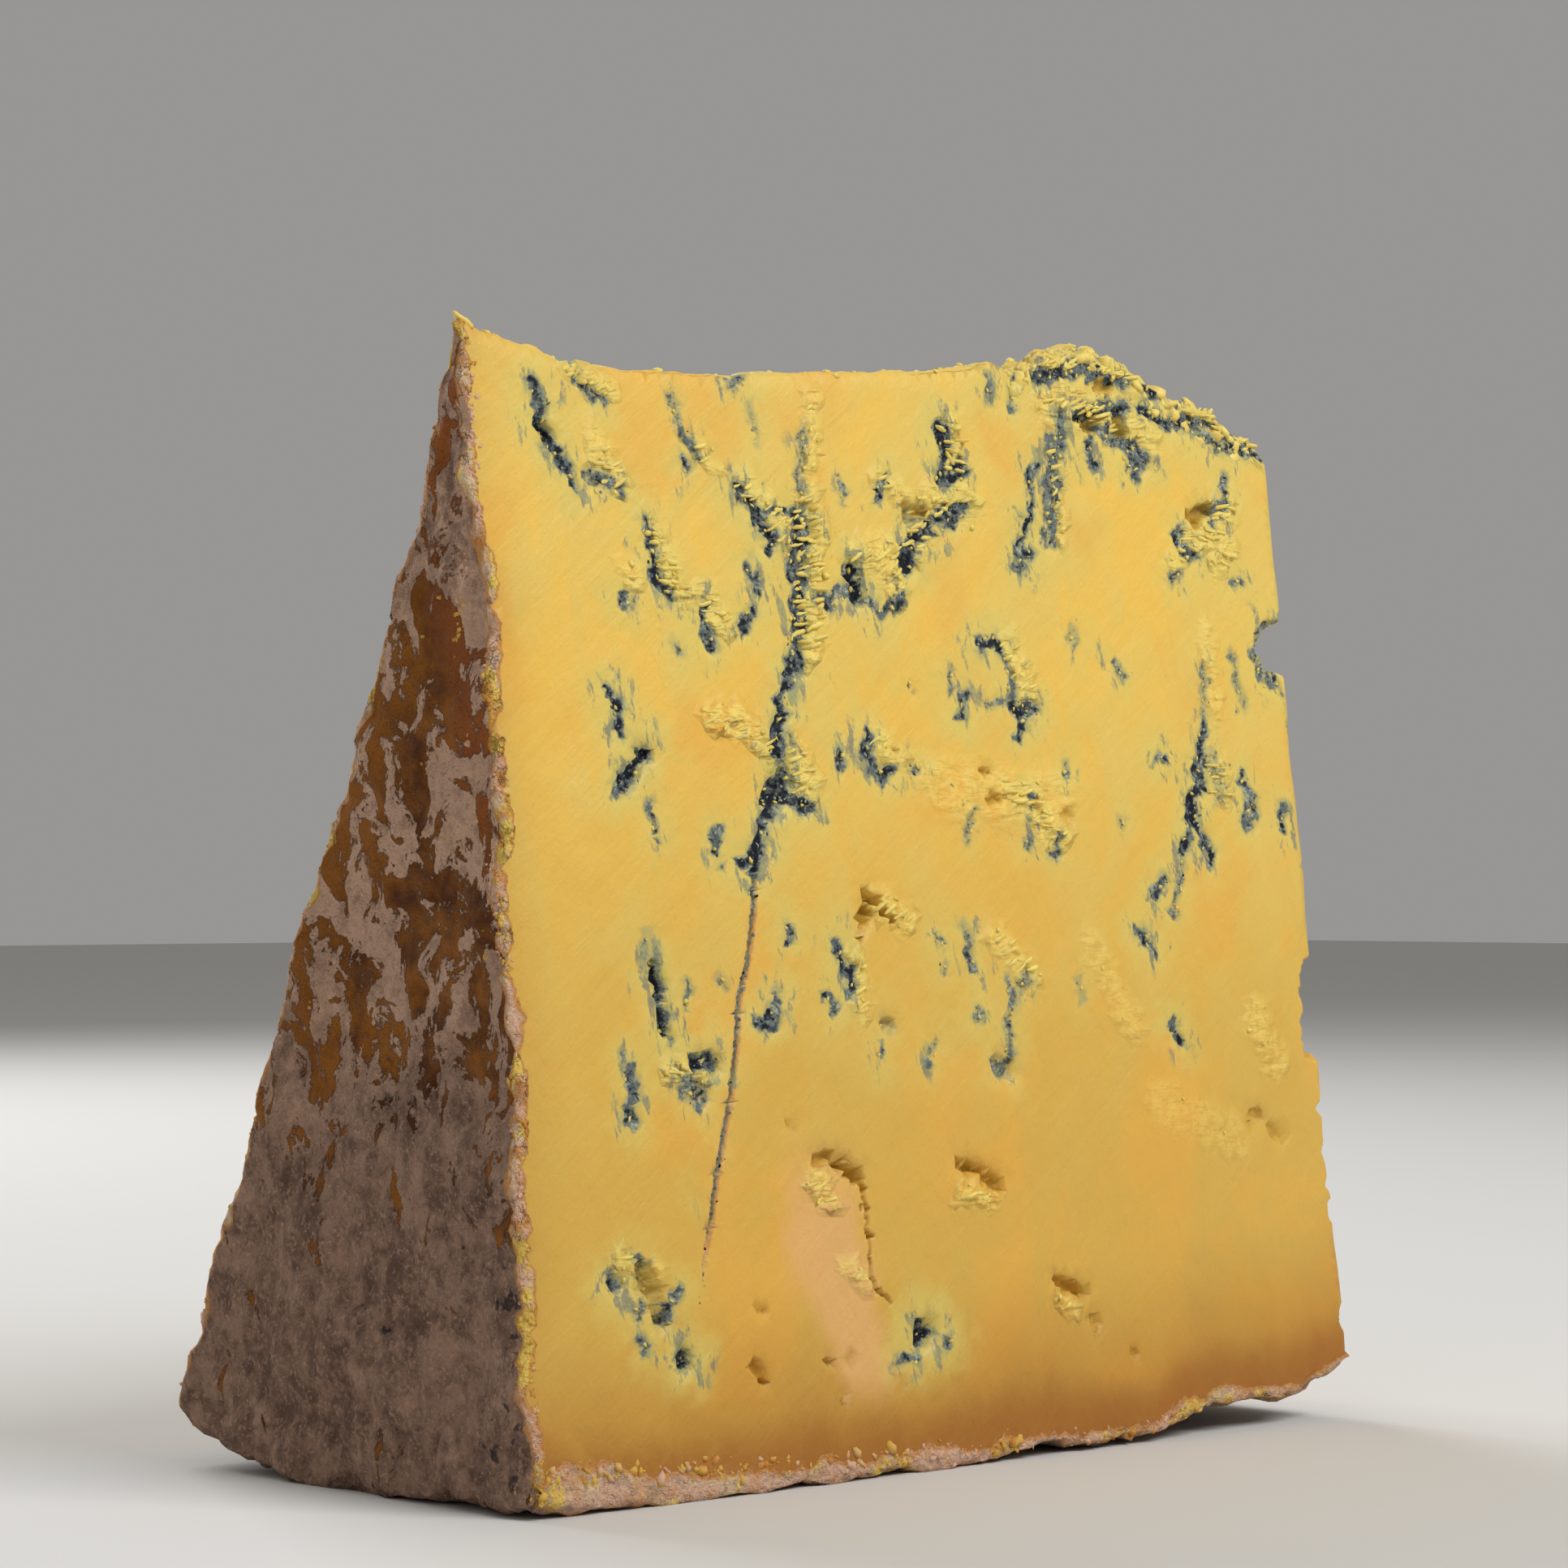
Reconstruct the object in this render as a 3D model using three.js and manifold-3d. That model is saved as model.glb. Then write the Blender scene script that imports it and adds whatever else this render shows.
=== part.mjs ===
// A wedge of blue cheese, about a twelfth of the round and half of the height of a drum, set down on
// the drum's side rind with its thin edge up. The low-X end and the underside are rind. The two leaning
// faces and the high-X end are cut paste, with mould-lined veins, skewer holes, cracks and crumbled edges.
// Millimetres, +X along the drum's axis from the rind end, +Y from the front cut to the back, +Z up.
import * as THREE from "three";
import { mergeVertices } from "three/addons/utils/BufferGeometryUtils.js";
import Module from "manifold-3d";

const wasm = await Module();
wasm.setup();

// Driving dimensions.
const LENGTH = 105.2; // rind end to cut end, at the foot
const END_LEAN = 0.012; // how far the cut end leans in, per mm of height
const TALL = 112; // uncut height that the ridge is broken from
const FRONT_LEAN = 0.102; // how far the front cut leans back, per mm of height
const BACK_LEAN = 0.415; // how far the back cut leans forward, per mm of height
const BACK_FOOT = 53.6; // where the back cut would meet the board at the rind end
const BACK_SKEW = 0.045; // how far the back cut drifts from the drum's axis, per mm of length
const BACK_HOLLOW = 1.8; // how far the back cut dips in above its middle, near the rind end
const AREA_PER_VEIN = 330; // area of a hidden cut, in square mm, for each vein in it
const RIND_PITCH = 3.4; // spacing of the points that shape the rind
const RIDGE_PITCH = 2; // spacing of the points that shape the broken ridge
const RIND_BUMP = 0.55; // height of the rind's lumps
const RIND_HOLLOW = 0.7; // how far the end rind swells and dips over its height
const RIND_EDGE = 2.6; // radius between the end rind and the side rind
const LIFT_FADE = 24; // height at which the lift of the underside has died out
const VEIN_CRUMB = 1.3; // usual size of a crumb or pit in a vein
const CRUMBS_PER_MM = 0.36; // how closely crumbs and pits follow each other along a vein
const CRUST_BEAD = 1.05; // usual radius of the crumbled crust along the edges of the cuts
const CRUST_STEP = 3.6; // length of each of its lumps
const GRID = 0.004; // finest step that the finished corners are rounded to

// Height of the broken ridge along the length: [x, z].
const RIDGE = [
  [-6, 101.2], [0.5, 100.8], [3, 100.1], [5, 99.3], [12, 97.9], [16, 98.3], [20, 98.1], [32, 98.5],
  [42, 99.5], [52, 100.3], [60, 101.4], [65, 102.4], [68.4, 102.4], [71.8, 104.3], [75.3, 105.2],
  [78.8, 105.1], [82.1, 104.7], [85.6, 104.1], [89, 102.7], [92.6, 102.8], [96, 101.1], [98, 98.8],
  [100, 97.5], [102.9, 97.3], [104.2, 94.8], [111, 84],
];

// Skewer holes that the front cut lays open: [low x, low z, high x, high z, width].
const SKEWER_HOLES = [
  [21.6, 21.5, 37.0, 74.0, 0.9],
  [37.0, 74.0, 40.5, 87.5, 2.2],
  [84.8, 49.0, 88.4, 58.0, 0.8],
  [88.4, 58.0, 92.6, 73.0, 1.9],
  [66.6, 82.6, 70.2, 94.0, 0.9],
  [71.2, 86.0, 73.8, 99.5, 1.8],
  [19.0, 39.2, 17.7, 45.2, 1.1],
  [8.7, 92.0, 9.3, 95.6, 0.9],
];

// Open pockets in the front cut: [x, z, half width, half height, depth, turn in degrees].
const POCKETS = [
  [17.6, 64.0, 0.9, 1.7, 1.6, -38], [8.7, 92.3, 0.8, 0.8, 1.4, 0], [22.9, 37.6, 1.3, 0.9, 1.6, 10],
  [14.7, 17.9, 0.9, 3.4, 2.0, 32], [10.9, 18.8, 1.1, 0.8, 1.4, 0], [18.4, 12.0, 1.1, 1.0, 1.4, 0],
  [47.7, 12.7, 1.7, 1.5, 2.0, 20], [26.4, 9.9, 0.6, 1.2, 1.2, 30], [34.8, 10.4, 0.6, 0.5, 0.8, 0],
  [59.8, 36.0, 1.0, 0.8, 1.4, 0], [43.0, 48.8, 0.6, 1.3, 1.4, -15], [45.4, 50.9, 1.7, 0.7, 1.6, -35],
  [37.0, 28.4, 2.8, 0.6, 1.6, 0], [39.2, 27.3, 0.9, 1.9, 2.2, 35], [54.8, 26.3, 2.2, 0.9, 2.2, -12],
  [66.6, 15.1, 1.7, 0.6, 1.5, -12], [69.6, 11.9, 0.6, 0.9, 0.8, 40], [54.2, 87.4, 1.4, 0.7, 1.8, 0],
  [82.2, 98.0, 1.3, 1.5, 2.0, 0], [78.0, 97.6, 1.2, 0.8, 1.4, 0], [80.8, 101.0, 1.6, 0.8, 1.5, 0],
  [93.4, 89.2, 1.8, 0.9, 1.8, 15], [90.6, 63.6, 1.0, 0.7, 1.4, 0], [16.0, 90.9, 1.5, 0.5, 0.9, 0],
  [33.0, 59.5, 0.9, 2.4, 1.6, -20], [45.2, 81.0, 1.0, 1.5, 1.6, 0], [58.3, 92.3, 0.9, 2.2, 1.2, 0],
  [53.0, 84.0, 1.0, 1.2, 1.5, 0], [65.7, 69.6, 1.4, 0.8, 1.0, -30], [61.4, 75.8, 1.0, 0.8, 1.0, 0],
];

// The crack that runs down from the largest pocket in the front cut.
const CRACK = [[40.3, 25.2], [41.0, 22.6], [41.3, 20.6], [40.9, 18.6], [42.0, 16.9], [43.6, 15.3]];
const CRACK_WIDTH = 0.9;
const CRACK_DEPTH = 2.2;

// Bites out of the edge between the front cut and the cut end: [z, half height, reach into the face].
const END_BITES = [
  [76.3, 2.9, 4.4], [41.6, 4.6, 2.2], [37.6, 2.4, 3.0], [30.5, 1.0, 0.9], [20.5, 1.2, 0.7], [9.5, 1.5, 0.6],
];

// Bands of crumbled, mould-coated curd in the front cut: [x0, z0, x1, z1, half width].
const CRUMBLED_BANDS = [
  [38.0, 72.5, 39.8, 86.5, 1.5], [31.5, 88.0, 34.6, 84.0, 1.2], [34.0, 86.0, 38.0, 86.4, 0.8],
  [53.0, 83.5, 60.4, 89.5, 1.4], [58.0, 89.0, 59.4, 95.5, 1.3], [44.8, 79.5, 50.4, 79.4, 1.0],
  [76.0, 97.0, 85.0, 94.5, 2.0], [70.8, 101.5, 84.5, 101.5, 1.5], [88.5, 97.5, 103.0, 95.0, 1.4],
  [20.2, 84.0, 22.0, 78.6, 0.9], [26.2, 78.0, 26.8, 74.2, 0.8], [14.6, 90.6, 16.8, 87.2, 1.2],
  [25.8, 92.4, 27.2, 90.0, 0.9], [90.5, 87.0, 97.6, 90.8, 1.2], [88.0, 83.6, 91.4, 86.0, 1.1],
  [34.6, 65.0, 36.8, 60.0, 1.3], [27.0, 67.6, 32.6, 64.6, 1.2], [20.6, 36.4, 22.6, 33.6, 1.0],
  [35.0, 26.4, 37.6, 23.8, 1.1], [60.8, 43.6, 60.2, 37.4, 0.8], [64.6, 61.0, 69.4, 57.4, 1.4],
  [54.0, 25.0, 57.0, 24.4, 0.8], [61.6, 75.6, 65.8, 69.6, 1.2], [91.6, 61.8, 94.0, 61.0, 1.1],
  [44.4, 64.4, 47.6, 63.4, 0.9], [41.0, 46.6, 41.4, 43.2, 0.7], [45.0, 49.4, 48.0, 49.0, 0.8],
];

// Repeatable random numbers from a seed.
function randomFrom(seed) {
  let state = seed;
  return () => {
    state = (state + 0x6d2b79f5) | 0;
    let t = Math.imul(state ^ (state >>> 15), 1 | state);
    t = (t + Math.imul(t ^ (t >>> 7), 61 | t)) ^ t;
    return ((t ^ (t >>> 14)) >>> 0) / 4294967296;
  };
}

// A fixed number from -1 to 1 for each whole-number corner of space.
function cornerValue(i, j, k) {
  let h = Math.imul(i, 374761393) ^ Math.imul(j, 668265263) ^ Math.imul(k, 1274126177);
  h = Math.imul(h ^ (h >>> 13), 1274126177);
  return (((h ^ (h >>> 16)) >>> 0) / 4294967296) * 2 - 1;
}

// Smooth noise from -1 to 1, with lumps about one unit across.
function noise(x, y, z) {
  const [i, j, k] = [x, y, z].map(Math.floor);
  const [u, v, w] = [x - i, y - j, z - k].map((t) => t * t * (3 - 2 * t));
  let sum = 0;
  for (let corner = 0; corner < 8; corner++) {
    const [a, b, c] = [corner & 1, (corner >> 1) & 1, corner >> 2];
    sum += cornerValue(i + a, j + b, k + c) * (a ? u : 1 - u) * (b ? v : 1 - v) * (c ? w : 1 - w);
  }
  return sum;
}

function solidOf(geometry) {
  const bare = new THREE.BufferGeometry().setAttribute("position", geometry.getAttribute("position"));
  if (geometry.index) bare.setIndex(geometry.index);
  const merged = mergeVertices(bare, 1e-4);
  return new wasm.Manifold(
    new wasm.Mesh({
      numProp: 3,
      vertProperties: new Float32Array(merged.attributes.position.array),
      triVerts: new Uint32Array(merged.index.array),
    }),
  );
}

function geometryOf(solid) {
  const mesh = solid.getMesh();
  const geometry = new THREE.BufferGeometry();
  geometry.setAttribute("position", new THREE.BufferAttribute(new Float32Array(mesh.vertProperties), 3));
  geometry.setIndex(new THREE.BufferAttribute(new Uint32Array(mesh.triVerts), 1));
  return geometry;
}

// Moves every vertex of a geometry by a rule that changes the point in place.
function warp(geometry, rule) {
  const position = geometry.getAttribute("position");
  const point = new THREE.Vector3();
  for (let i = 0; i < position.count; i++) {
    point.fromBufferAttribute(position, i);
    rule(point);
    position.setXYZ(i, point.x, point.y, point.z);
  }
  return geometry;
}

const smooth = (from, to, value) => THREE.MathUtils.smoothstep(value, from, to);
const frontY = (z) => FRONT_LEAN * z;
const endCutX = (z) => LENGTH - END_LEAN * z;

// The back cut is a plane with a shallow hollow above its middle, near the rind end.
function backY(x, z) {
  const hollow = Math.sin(Math.PI * THREE.MathUtils.clamp((z - 44) / 64, 0, 1)) * (1 - smooth(20, 70, x));
  return BACK_FOOT + BACK_SKEW * x - BACK_LEAN * z - BACK_HOLLOW * hollow;
}

const ridgeCurve = new THREE.CatmullRomCurve3(RIDGE.map(([x, z]) => new THREE.Vector3(x, 0, z)));
const ridgePoints = ridgeCurve.getPoints(400);
function ridgeHeight(x) {
  const next = ridgePoints.findIndex((p) => p.x > x);
  const [a, b] = [ridgePoints[Math.max(next - 1, 0)], ridgePoints[Math.max(next, 0)]];
  return THREE.MathUtils.mapLinear(x, a.x, b.x === a.x ? a.x + 1 : b.x, a.z, b.z);
}

// The side rind's underside: flat where the wedge stands, lifting towards the cut end and the back.
function undersideHeight(x, y) {
  const towardsEnd = 3.1 * Math.pow(smooth(70, 112, x), 1.1) * 1.5;
  const towardsBack = 5.2 * Math.pow(Math.max(y - 33, 0) / 20, 2);
  const towardsFront = 0.4 * (1 - smooth(0, 4.5, y));
  const standing = smooth(3, 9, x) * (1 - smooth(62, 72, x)) * smooth(3, 8, y) * (1 - smooth(30, 36, y));
  const lumps = RIND_BUMP * (noise(x / 9, y / 9, 3) + 0.6 * noise(x / 4.2, y / 4.2, 8));
  return Math.max(0, towardsEnd + towardsBack + towardsFront + (lumps + 0.2) * (1 - standing) - 0.1);
}

// How far the end rind stands from x = 0.
function endRindX(y, z) {
  const hollow = RIND_HOLLOW * Math.sin((z - 8) / 28);
  return hollow + RIND_HOLLOW / 2 + RIND_BUMP * (noise(2, y / 8, z / 8) + 0.7 * noise(5, y / 3.8, z / 3.8));
}

// The uncut corner of the drum, with rind on its low-X end and its underside.
function drumCorner() {
  const [width, margin] = [72, 8];
  const steps = [LENGTH + margin, width, TALL].map((size) => Math.round(size / RIND_PITCH));
  const block = new THREE.BoxGeometry(LENGTH + margin, width, TALL, ...steps);
  block.translate((LENGTH + margin) / 2, width / 2 - margin, TALL / 2);
  return solidOf(
    warp(block, (p) => {
      const [x, y, z] = p.toArray();
      const lift = undersideHeight(x, y) + roundedEdge(x);
      p.z += lift * Math.max(1 - z / LIFT_FADE, 0);
      if (x < 1e-6) p.x = endRindX(y, z) + roundedEdge(z);
    }),
  );
}

// How far a rounded edge draws back at a distance from the corner.
function roundedEdge(distance) {
  const left = Math.max(1 - distance / RIND_EDGE, 0);
  return RIND_EDGE * 0.42 * left * left;
}

// The space between the two cuts and the cut end, as a prism.
function betweenCuts() {
  const block = new THREE.BoxGeometry(1, 1, 1, 3, 1, 6).translate(0.5, 0.5, 0.5);
  return solidOf(
    warp(block, (p) => {
      const z = p.z * TALL - 1;
      const x = THREE.MathUtils.lerp(-6, endCutX(z), p.x);
      p.set(x, p.y ? Math.max(backY(x, z), frontY(z) + 0.2) : frontY(z), z);
    }),
  );
}

// What was crumbled off above the ridge: level over the thin part, and sloping down to the front where
// the curd broke away.
function aboveRidge() {
  const [deep, high] = [34, 40];
  const block = new THREE.BoxGeometry(LENGTH + 16, deep, high, LENGTH / RIDGE_PITCH, deep / RIDGE_PITCH, 1);
  block.translate(LENGTH / 2, deep / 2, high / 2);
  return solidOf(
    warp(block, (p) => {
      if (p.z > 1) {
        p.z = 1.3 * TALL;
        return;
      }
      const top = ridgeHeight(p.x);
      const slope = 0.3 * smooth(60, 78, p.x) * (1 - smooth(92, 98, p.x));
      const behind = Math.max(backY(p.x, top) - p.y, 0);
      const crags = 0.5 + 0.9 * smooth(58, 76, p.x);
      const rough = 0.45 * crags * noise(p.x / 1.9, p.y / 1.6, 4) + 0.4 * crags * noise(p.x / 4, p.y / 3, 9);
      p.z = top - slope * behind + rough;
    }),
  );
}

// A lumpy pebble of given half sizes, rounder the larger it is.
function pebble(halfSizes, matrix, seed) {
  const area = halfSizes.x * halfSizes.y;
  const round = new THREE.IcosahedronGeometry(1, area > 3 ? 1 : 0);
  const shape = area > 0.8 ? round : new THREE.OctahedronGeometry(1.15);
  warp(shape, (p) => {
    p.multiplyScalar(1 + 0.32 * noise(p.x * 1.7 + seed, p.y * 1.7 - seed, p.z * 1.7 + 2 * seed));
    p.multiply(halfSizes);
  });
  return solidOf(shape.applyMatrix4(matrix));
}

// A thin curl of curd that the wire lifted: a bent, tapering slab.
function flake(length, width, thickness, matrix) {
  const shape = new THREE.BoxGeometry(length, width, thickness);
  warp(shape, (p) => {
    const along = p.x / length + 0.5;
    p.y *= 1 - 0.55 * along;
    p.z = p.z * (1 - 0.5 * along) + 0.55 * length * along * along;
  });
  return solidOf(shape.applyMatrix4(matrix));
}

// The matrix of a place on a cut: its X runs along the cut, its Y up it and its Z out of it.
function frameAt(origin, along, outward) {
  const out = outward.normalize();
  const up = new THREE.Vector3().crossVectors(out, along).normalize();
  const side = new THREE.Vector3().crossVectors(up, out);
  return new THREE.Matrix4().makeBasis(side, up, out).setPosition(origin);
}

// The places on each cut, from a distance along it and a height.
const v = (x, y, z) => new THREE.Vector3(x, y, z);
const FACES = {
  front: (x, z) => frameAt(v(x, frontY(z), z), v(1, 0, 0), v(0, -1, FRONT_LEAN)),
  back: (x, z) => frameAt(v(x, backY(x, z), z), v(-1, -BACK_SKEW, 0), v(-BACK_SKEW, 1, BACK_LEAN)),
  end: (y, z) => frameAt(v(endCutX(z), y, z), v(0, 1, 0), v(1, 0, END_LEAN)),
};

// A place on a cut, turned in its plane, raised out of it and tipped.
function turned(place, degrees, lift = 0, tip = 0) {
  const turn = new THREE.Matrix4().makeRotationZ(THREE.MathUtils.degToRad(degrees));
  const tilt = new THREE.Matrix4().makeRotationY(THREE.MathUtils.degToRad(tip));
  const raise = new THREE.Matrix4().makeTranslation(0, 0, lift);
  return place.clone().multiply(raise).multiply(turn).multiply(tilt);
}

// A skewer hole laid open along its length, as a rough five-sided rod sunk in the cut.
function skewerHole([x0, z0, x1, z1, width], face = "front") {
  const length = Math.hypot(x1 - x0, z1 - z0);
  const rod = new THREE.CylinderGeometry(width / 2, width / 2, length, 5, Math.ceil(length / 7));
  warp(rod, (p) => {
    const swell = 1 + 0.35 * noise(p.y / 2.5, x0, z0);
    p.x *= swell;
    p.z *= swell * 1.5;
  });
  const lean = THREE.MathUtils.radToDeg(Math.atan2(x0 - x1, z1 - z0));
  return solidOf(rod.applyMatrix4(turned(FACES[face]((x0 + x1) / 2, (z0 + z1) / 2), lean, -0.15)));
}

function pocket([x, z, halfWidth, halfHeight, depth, turn], index, face = "front") {
  const sizes = new THREE.Vector3(halfWidth, halfHeight, depth);
  return pebble(sizes, turned(FACES[face](x, z), turn), index * 3.7 + 1);
}

// A strip along a run of points in the front cut, for the crack.
function crackStrip() {
  const width = (i) => (CRACK_WIDTH / 2) * (0.45 + 0.55 * Math.abs(Math.cos(i * 1.9)));
  const outline = [
    ...CRACK.map(([x, z], i) => new THREE.Vector2(x - width(i), z)),
    ...CRACK.map(([x, z], i) => new THREE.Vector2(x + width(i), z)).reverse(),
  ];
  const settings = { depth: 2 * CRACK_DEPTH, bevelEnabled: false };
  const strip = new THREE.ExtrudeGeometry(new THREE.Shape(outline), settings);
  warp(strip, (p) => {
    p.set(p.x, frontY(p.y) - CRACK_DEPTH + p.z, p.y);
  });
  return solidOf(flipped(strip));
}

// Reverses the winding of every face.
function flipped(geometry) {
  const source = geometry.index ? geometry.toNonIndexed() : geometry;
  const p = source.getAttribute("position");
  const out = new Float32Array(p.array.length);
  for (let i = 0; i < p.count; i += 3) {
    [0, 2, 1].forEach((from, to) => {
      for (let axis = 0; axis < 3; axis++) out[(i + to) * 3 + axis] = p.array[(i + from) * 3 + axis];
    });
  }
  return new THREE.BufferGeometry().setAttribute("position", new THREE.BufferAttribute(out, 3));
}

// Bites at the edge where the front cut meets the cut end.
function endBite([z, halfHeight, reach], index) {
  const sizes = new THREE.Vector3(reach, halfHeight, 7);
  return pebble(sizes, FACES.front(endCutX(z) + 0.3, z), index * 5.1 + 2);
}

// Pits down the left of a band of a cut, and curls of curd that stand up on its right.
function crumbledBand([x0, z0, x1, z1, halfWidth], index, face = "front") {
  const random = randomFrom(1000 + index * 17);
  const pieces = Math.round(1.6 + Math.hypot(x1 - x0, z1 - z0) * CRUMBS_PER_MM);
  const [raised, sunk] = [[], []];
  for (let i = 0; i < pieces; i++) {
    const along = (i + 0.5) / pieces;
    const isPit = i % 2 === 1;
    const side = halfWidth * (random() - 0.2) * (isPit ? -1 : 1);
    const size = VEIN_CRUMB * (0.7 + 0.6 * random());
    const x = THREE.MathUtils.lerp(x0, x1, along) + side;
    const place = FACES[face](x, THREE.MathUtils.lerp(z0, z1, along));
    if (isPit) {
      const half = new THREE.Vector3(size * 1.1, size * 0.6, size * 0.8);
      sunk.push(pebble(half, turned(place, random() * 50 - 25), i + index));
    } else {
      raised.push(flake(size * 2.4, size * 1.5, size * 0.7, turned(place, random() * 60 + 10, -0.1, -8)));
    }
  }
  return [raised, sunk];
}

// Veins of a cut that has no list of its own: skewer holes that cross it at one lean, and pockets
// and crumbled bands beside them.
function scatteredVeins(face, along, up, lean, seed) {
  const random = randomFrom(seed);
  const between = ([low, high]) => THREE.MathUtils.lerp(low, high, random());
  const [raised, sunk] = [[], []];
  const spots = Math.round(((along[1] - along[0]) * (up[1] - up[0])) / AREA_PER_VEIN);
  for (let i = 0; i < spots; i++) {
    const [x, z] = [between(along), between(up)];
    const [run, turn] = [2 + 7 * random(), 90 * random()];
    const [width, height, depth] = [0.7, 0.6, 1].map((least) => least + random());
    if (i % 5 === 0) {
      sunk.push(skewerHole([x, z, x + lean * run * 1.6, z + run * 1.6, width], face));
    } else if (i % 5 < 3) {
      sunk.push(pocket([x, z, width, height, depth, turn], i + seed, face));
    } else {
      const [curls, pits] = crumbledBand([x, z, x + lean * run, z + run, 0.9], i + seed, face);
      raised.push(...curls);
      sunk.push(...pits);
    }
  }
  return [raised, sunk];
}

// A lumpy rope of crust from a rule that gives its middle at a share of its way. It runs along X
// under a cut, or along Z up the side of one.
function crustBead(middleAt, length, seed, alongX) {
  const steps = Math.round(length / CRUST_STEP);
  const rope = new THREE.CylinderGeometry(1, 1, 1, 5, steps);
  return solidOf(
    warp(rope, (p) => {
      const share = p.y + 0.5;
      const middle = middleAt(share);
      const lump = noise((share * length) / 2.4, seed, 0) + 0.5 * noise(share * length, p.x, seed + p.z);
      const taper = Math.min(1, share * steps + 0.2, (1 - share) * steps + 0.2);
      const radius = CRUST_BEAD * (0.8 + 0.4 * lump) * taper;
      if (alongX) p.set(middle.x, middle.y - radius * p.x, middle.z + radius * p.z);
      else p.set(middle.x + radius * p.x, middle.y - radius * p.z, middle.z);
    }),
  );
}

// The crust's broken edge, where the rind meets the front and back cuts.
function crustEdges() {
  const under = (y, lift, inset) => (share) => {
    const x = THREE.MathUtils.lerp(2, LENGTH - 1, share);
    const z = undersideHeight(x, y(x, 2)) + lift + 0.6 * noise(x / 5, y(x, 0), 1);
    return new THREE.Vector3(x, y(x, z) + inset, z);
  };
  const beside = (y, inset, foot) => (share) => {
    const z = THREE.MathUtils.lerp(foot, 96, share);
    return new THREE.Vector3(endRindX(y(0, z), z) + 0.7, y(0, z) + inset, z);
  };
  const front = (x, z) => frontY(z);
  return [
    crustBead(under(front, 1.5, 0.55), LENGTH, 11, true),
    crustBead(under(backY, 1.2, -0.7), LENGTH, 23, true),
    crustBead(beside(front, 0.5, 3), 94, 37, false),
    crustBead(beside(backY, -0.8, 6), 94, 53, false),
  ];
}

// The whole wedge: the drum's corner between the cuts, less what broke off, plus what stands proud.
function wedge() {
  const raised = crustEdges();
  const sunk = [
    aboveRidge(),
    crackStrip(),
    ...SKEWER_HOLES.map((hole) => skewerHole(hole)),
    ...POCKETS.map((row, index) => pocket(row, index)),
    ...END_BITES.map(endBite),
  ];
  const scattered = [
    ...CRUMBLED_BANDS.map((band, index) => crumbledBand(band, index)),
    scatteredVeins("back", [8, LENGTH - 6], [12, 92], -0.3, 501),
    scatteredVeins("end", [14, 40], [14, 70], 0.15, 907),
  ];
  scattered.forEach(([up, down]) => {
    raised.push(...up);
    sunk.push(...down);
  });
  const body = drumCorner().intersect(betweenCuts());
  const rough = wasm.Manifold.union([body, ...raised]).subtract(wasm.Manifold.union(sunk));
  return largestOf(withoutSlivers(rough.trimByPlane([0, 0, 1], 0)));
}

function largestOf(solid) {
  return solid.decompose().reduce((best, piece) => (piece.volume() > best.volume() ? piece : best));
}

// Rounds every corner to GRID and joins the corners that meet there, which drops hair-thin slivers.
function withoutSlivers(solid) {
  return solidOf(warp(geometryOf(solid), (p) => p.divideScalar(GRID).round().multiplyScalar(GRID)));
}

const paste = new THREE.MeshStandardMaterial({ color: 0xe6b24a, roughness: 0.5, metalness: 0 });
const geometry = geometryOf(wedge());
geometry.computeBoundingBox();
const middle = geometry.boundingBox.getCenter(new THREE.Vector3());
geometry.translate(-middle.x, -middle.y, -geometry.boundingBox.min.z);

const cheeseWedge = new THREE.Mesh(geometry, paste);
cheeseWedge.name = "cheese_wedge";

const cheese = new THREE.Group();
cheese.add(cheeseWedge);
export default cheese;
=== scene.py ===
import math

import bmesh
import bpy
import numpy as np
from bpy.props import FloatProperty, FloatVectorProperty, PointerProperty
from mathutils import Matrix, Vector
from mathutils.bvhtree import BVHTree


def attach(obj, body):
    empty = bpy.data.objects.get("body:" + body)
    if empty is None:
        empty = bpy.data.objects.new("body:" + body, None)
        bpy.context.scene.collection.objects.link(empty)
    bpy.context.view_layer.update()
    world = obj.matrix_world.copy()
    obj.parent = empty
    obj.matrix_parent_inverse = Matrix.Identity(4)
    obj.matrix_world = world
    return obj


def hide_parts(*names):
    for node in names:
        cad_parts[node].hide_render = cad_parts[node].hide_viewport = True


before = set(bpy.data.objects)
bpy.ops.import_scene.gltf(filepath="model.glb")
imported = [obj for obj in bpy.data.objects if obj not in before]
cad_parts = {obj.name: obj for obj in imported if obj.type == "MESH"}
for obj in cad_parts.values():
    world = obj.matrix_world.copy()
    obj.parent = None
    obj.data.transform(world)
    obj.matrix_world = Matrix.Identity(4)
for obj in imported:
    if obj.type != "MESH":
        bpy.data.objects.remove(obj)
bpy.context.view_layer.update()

bl_info = {
    "name": "Blue cheese wedge",
    "version": (1, 0, 0),
    "blender": (4, 5, 0),
    "location": "View3D > Sidebar > Cheese",
    "description": "Builds a veined wedge of blue cheese with its rind on the packed frame",
    "category": "Object",
}

NODE = "cheese_wedge"
BODY = "root"
BODY_PIECE = "cheese_wedge_body"
MM = 0.001

# Places are worked out in millimetres from the foot of the front cut at the rind end. CORNER is that
# point in the row's frame.
CORNER = np.array([-53.00, -27.04, 0.0])

# How far the front cut leans back and the back cut leans forward for each unit of height.
FRONT_LEAN = 0.102
BACK_LEAN = 0.415

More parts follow.
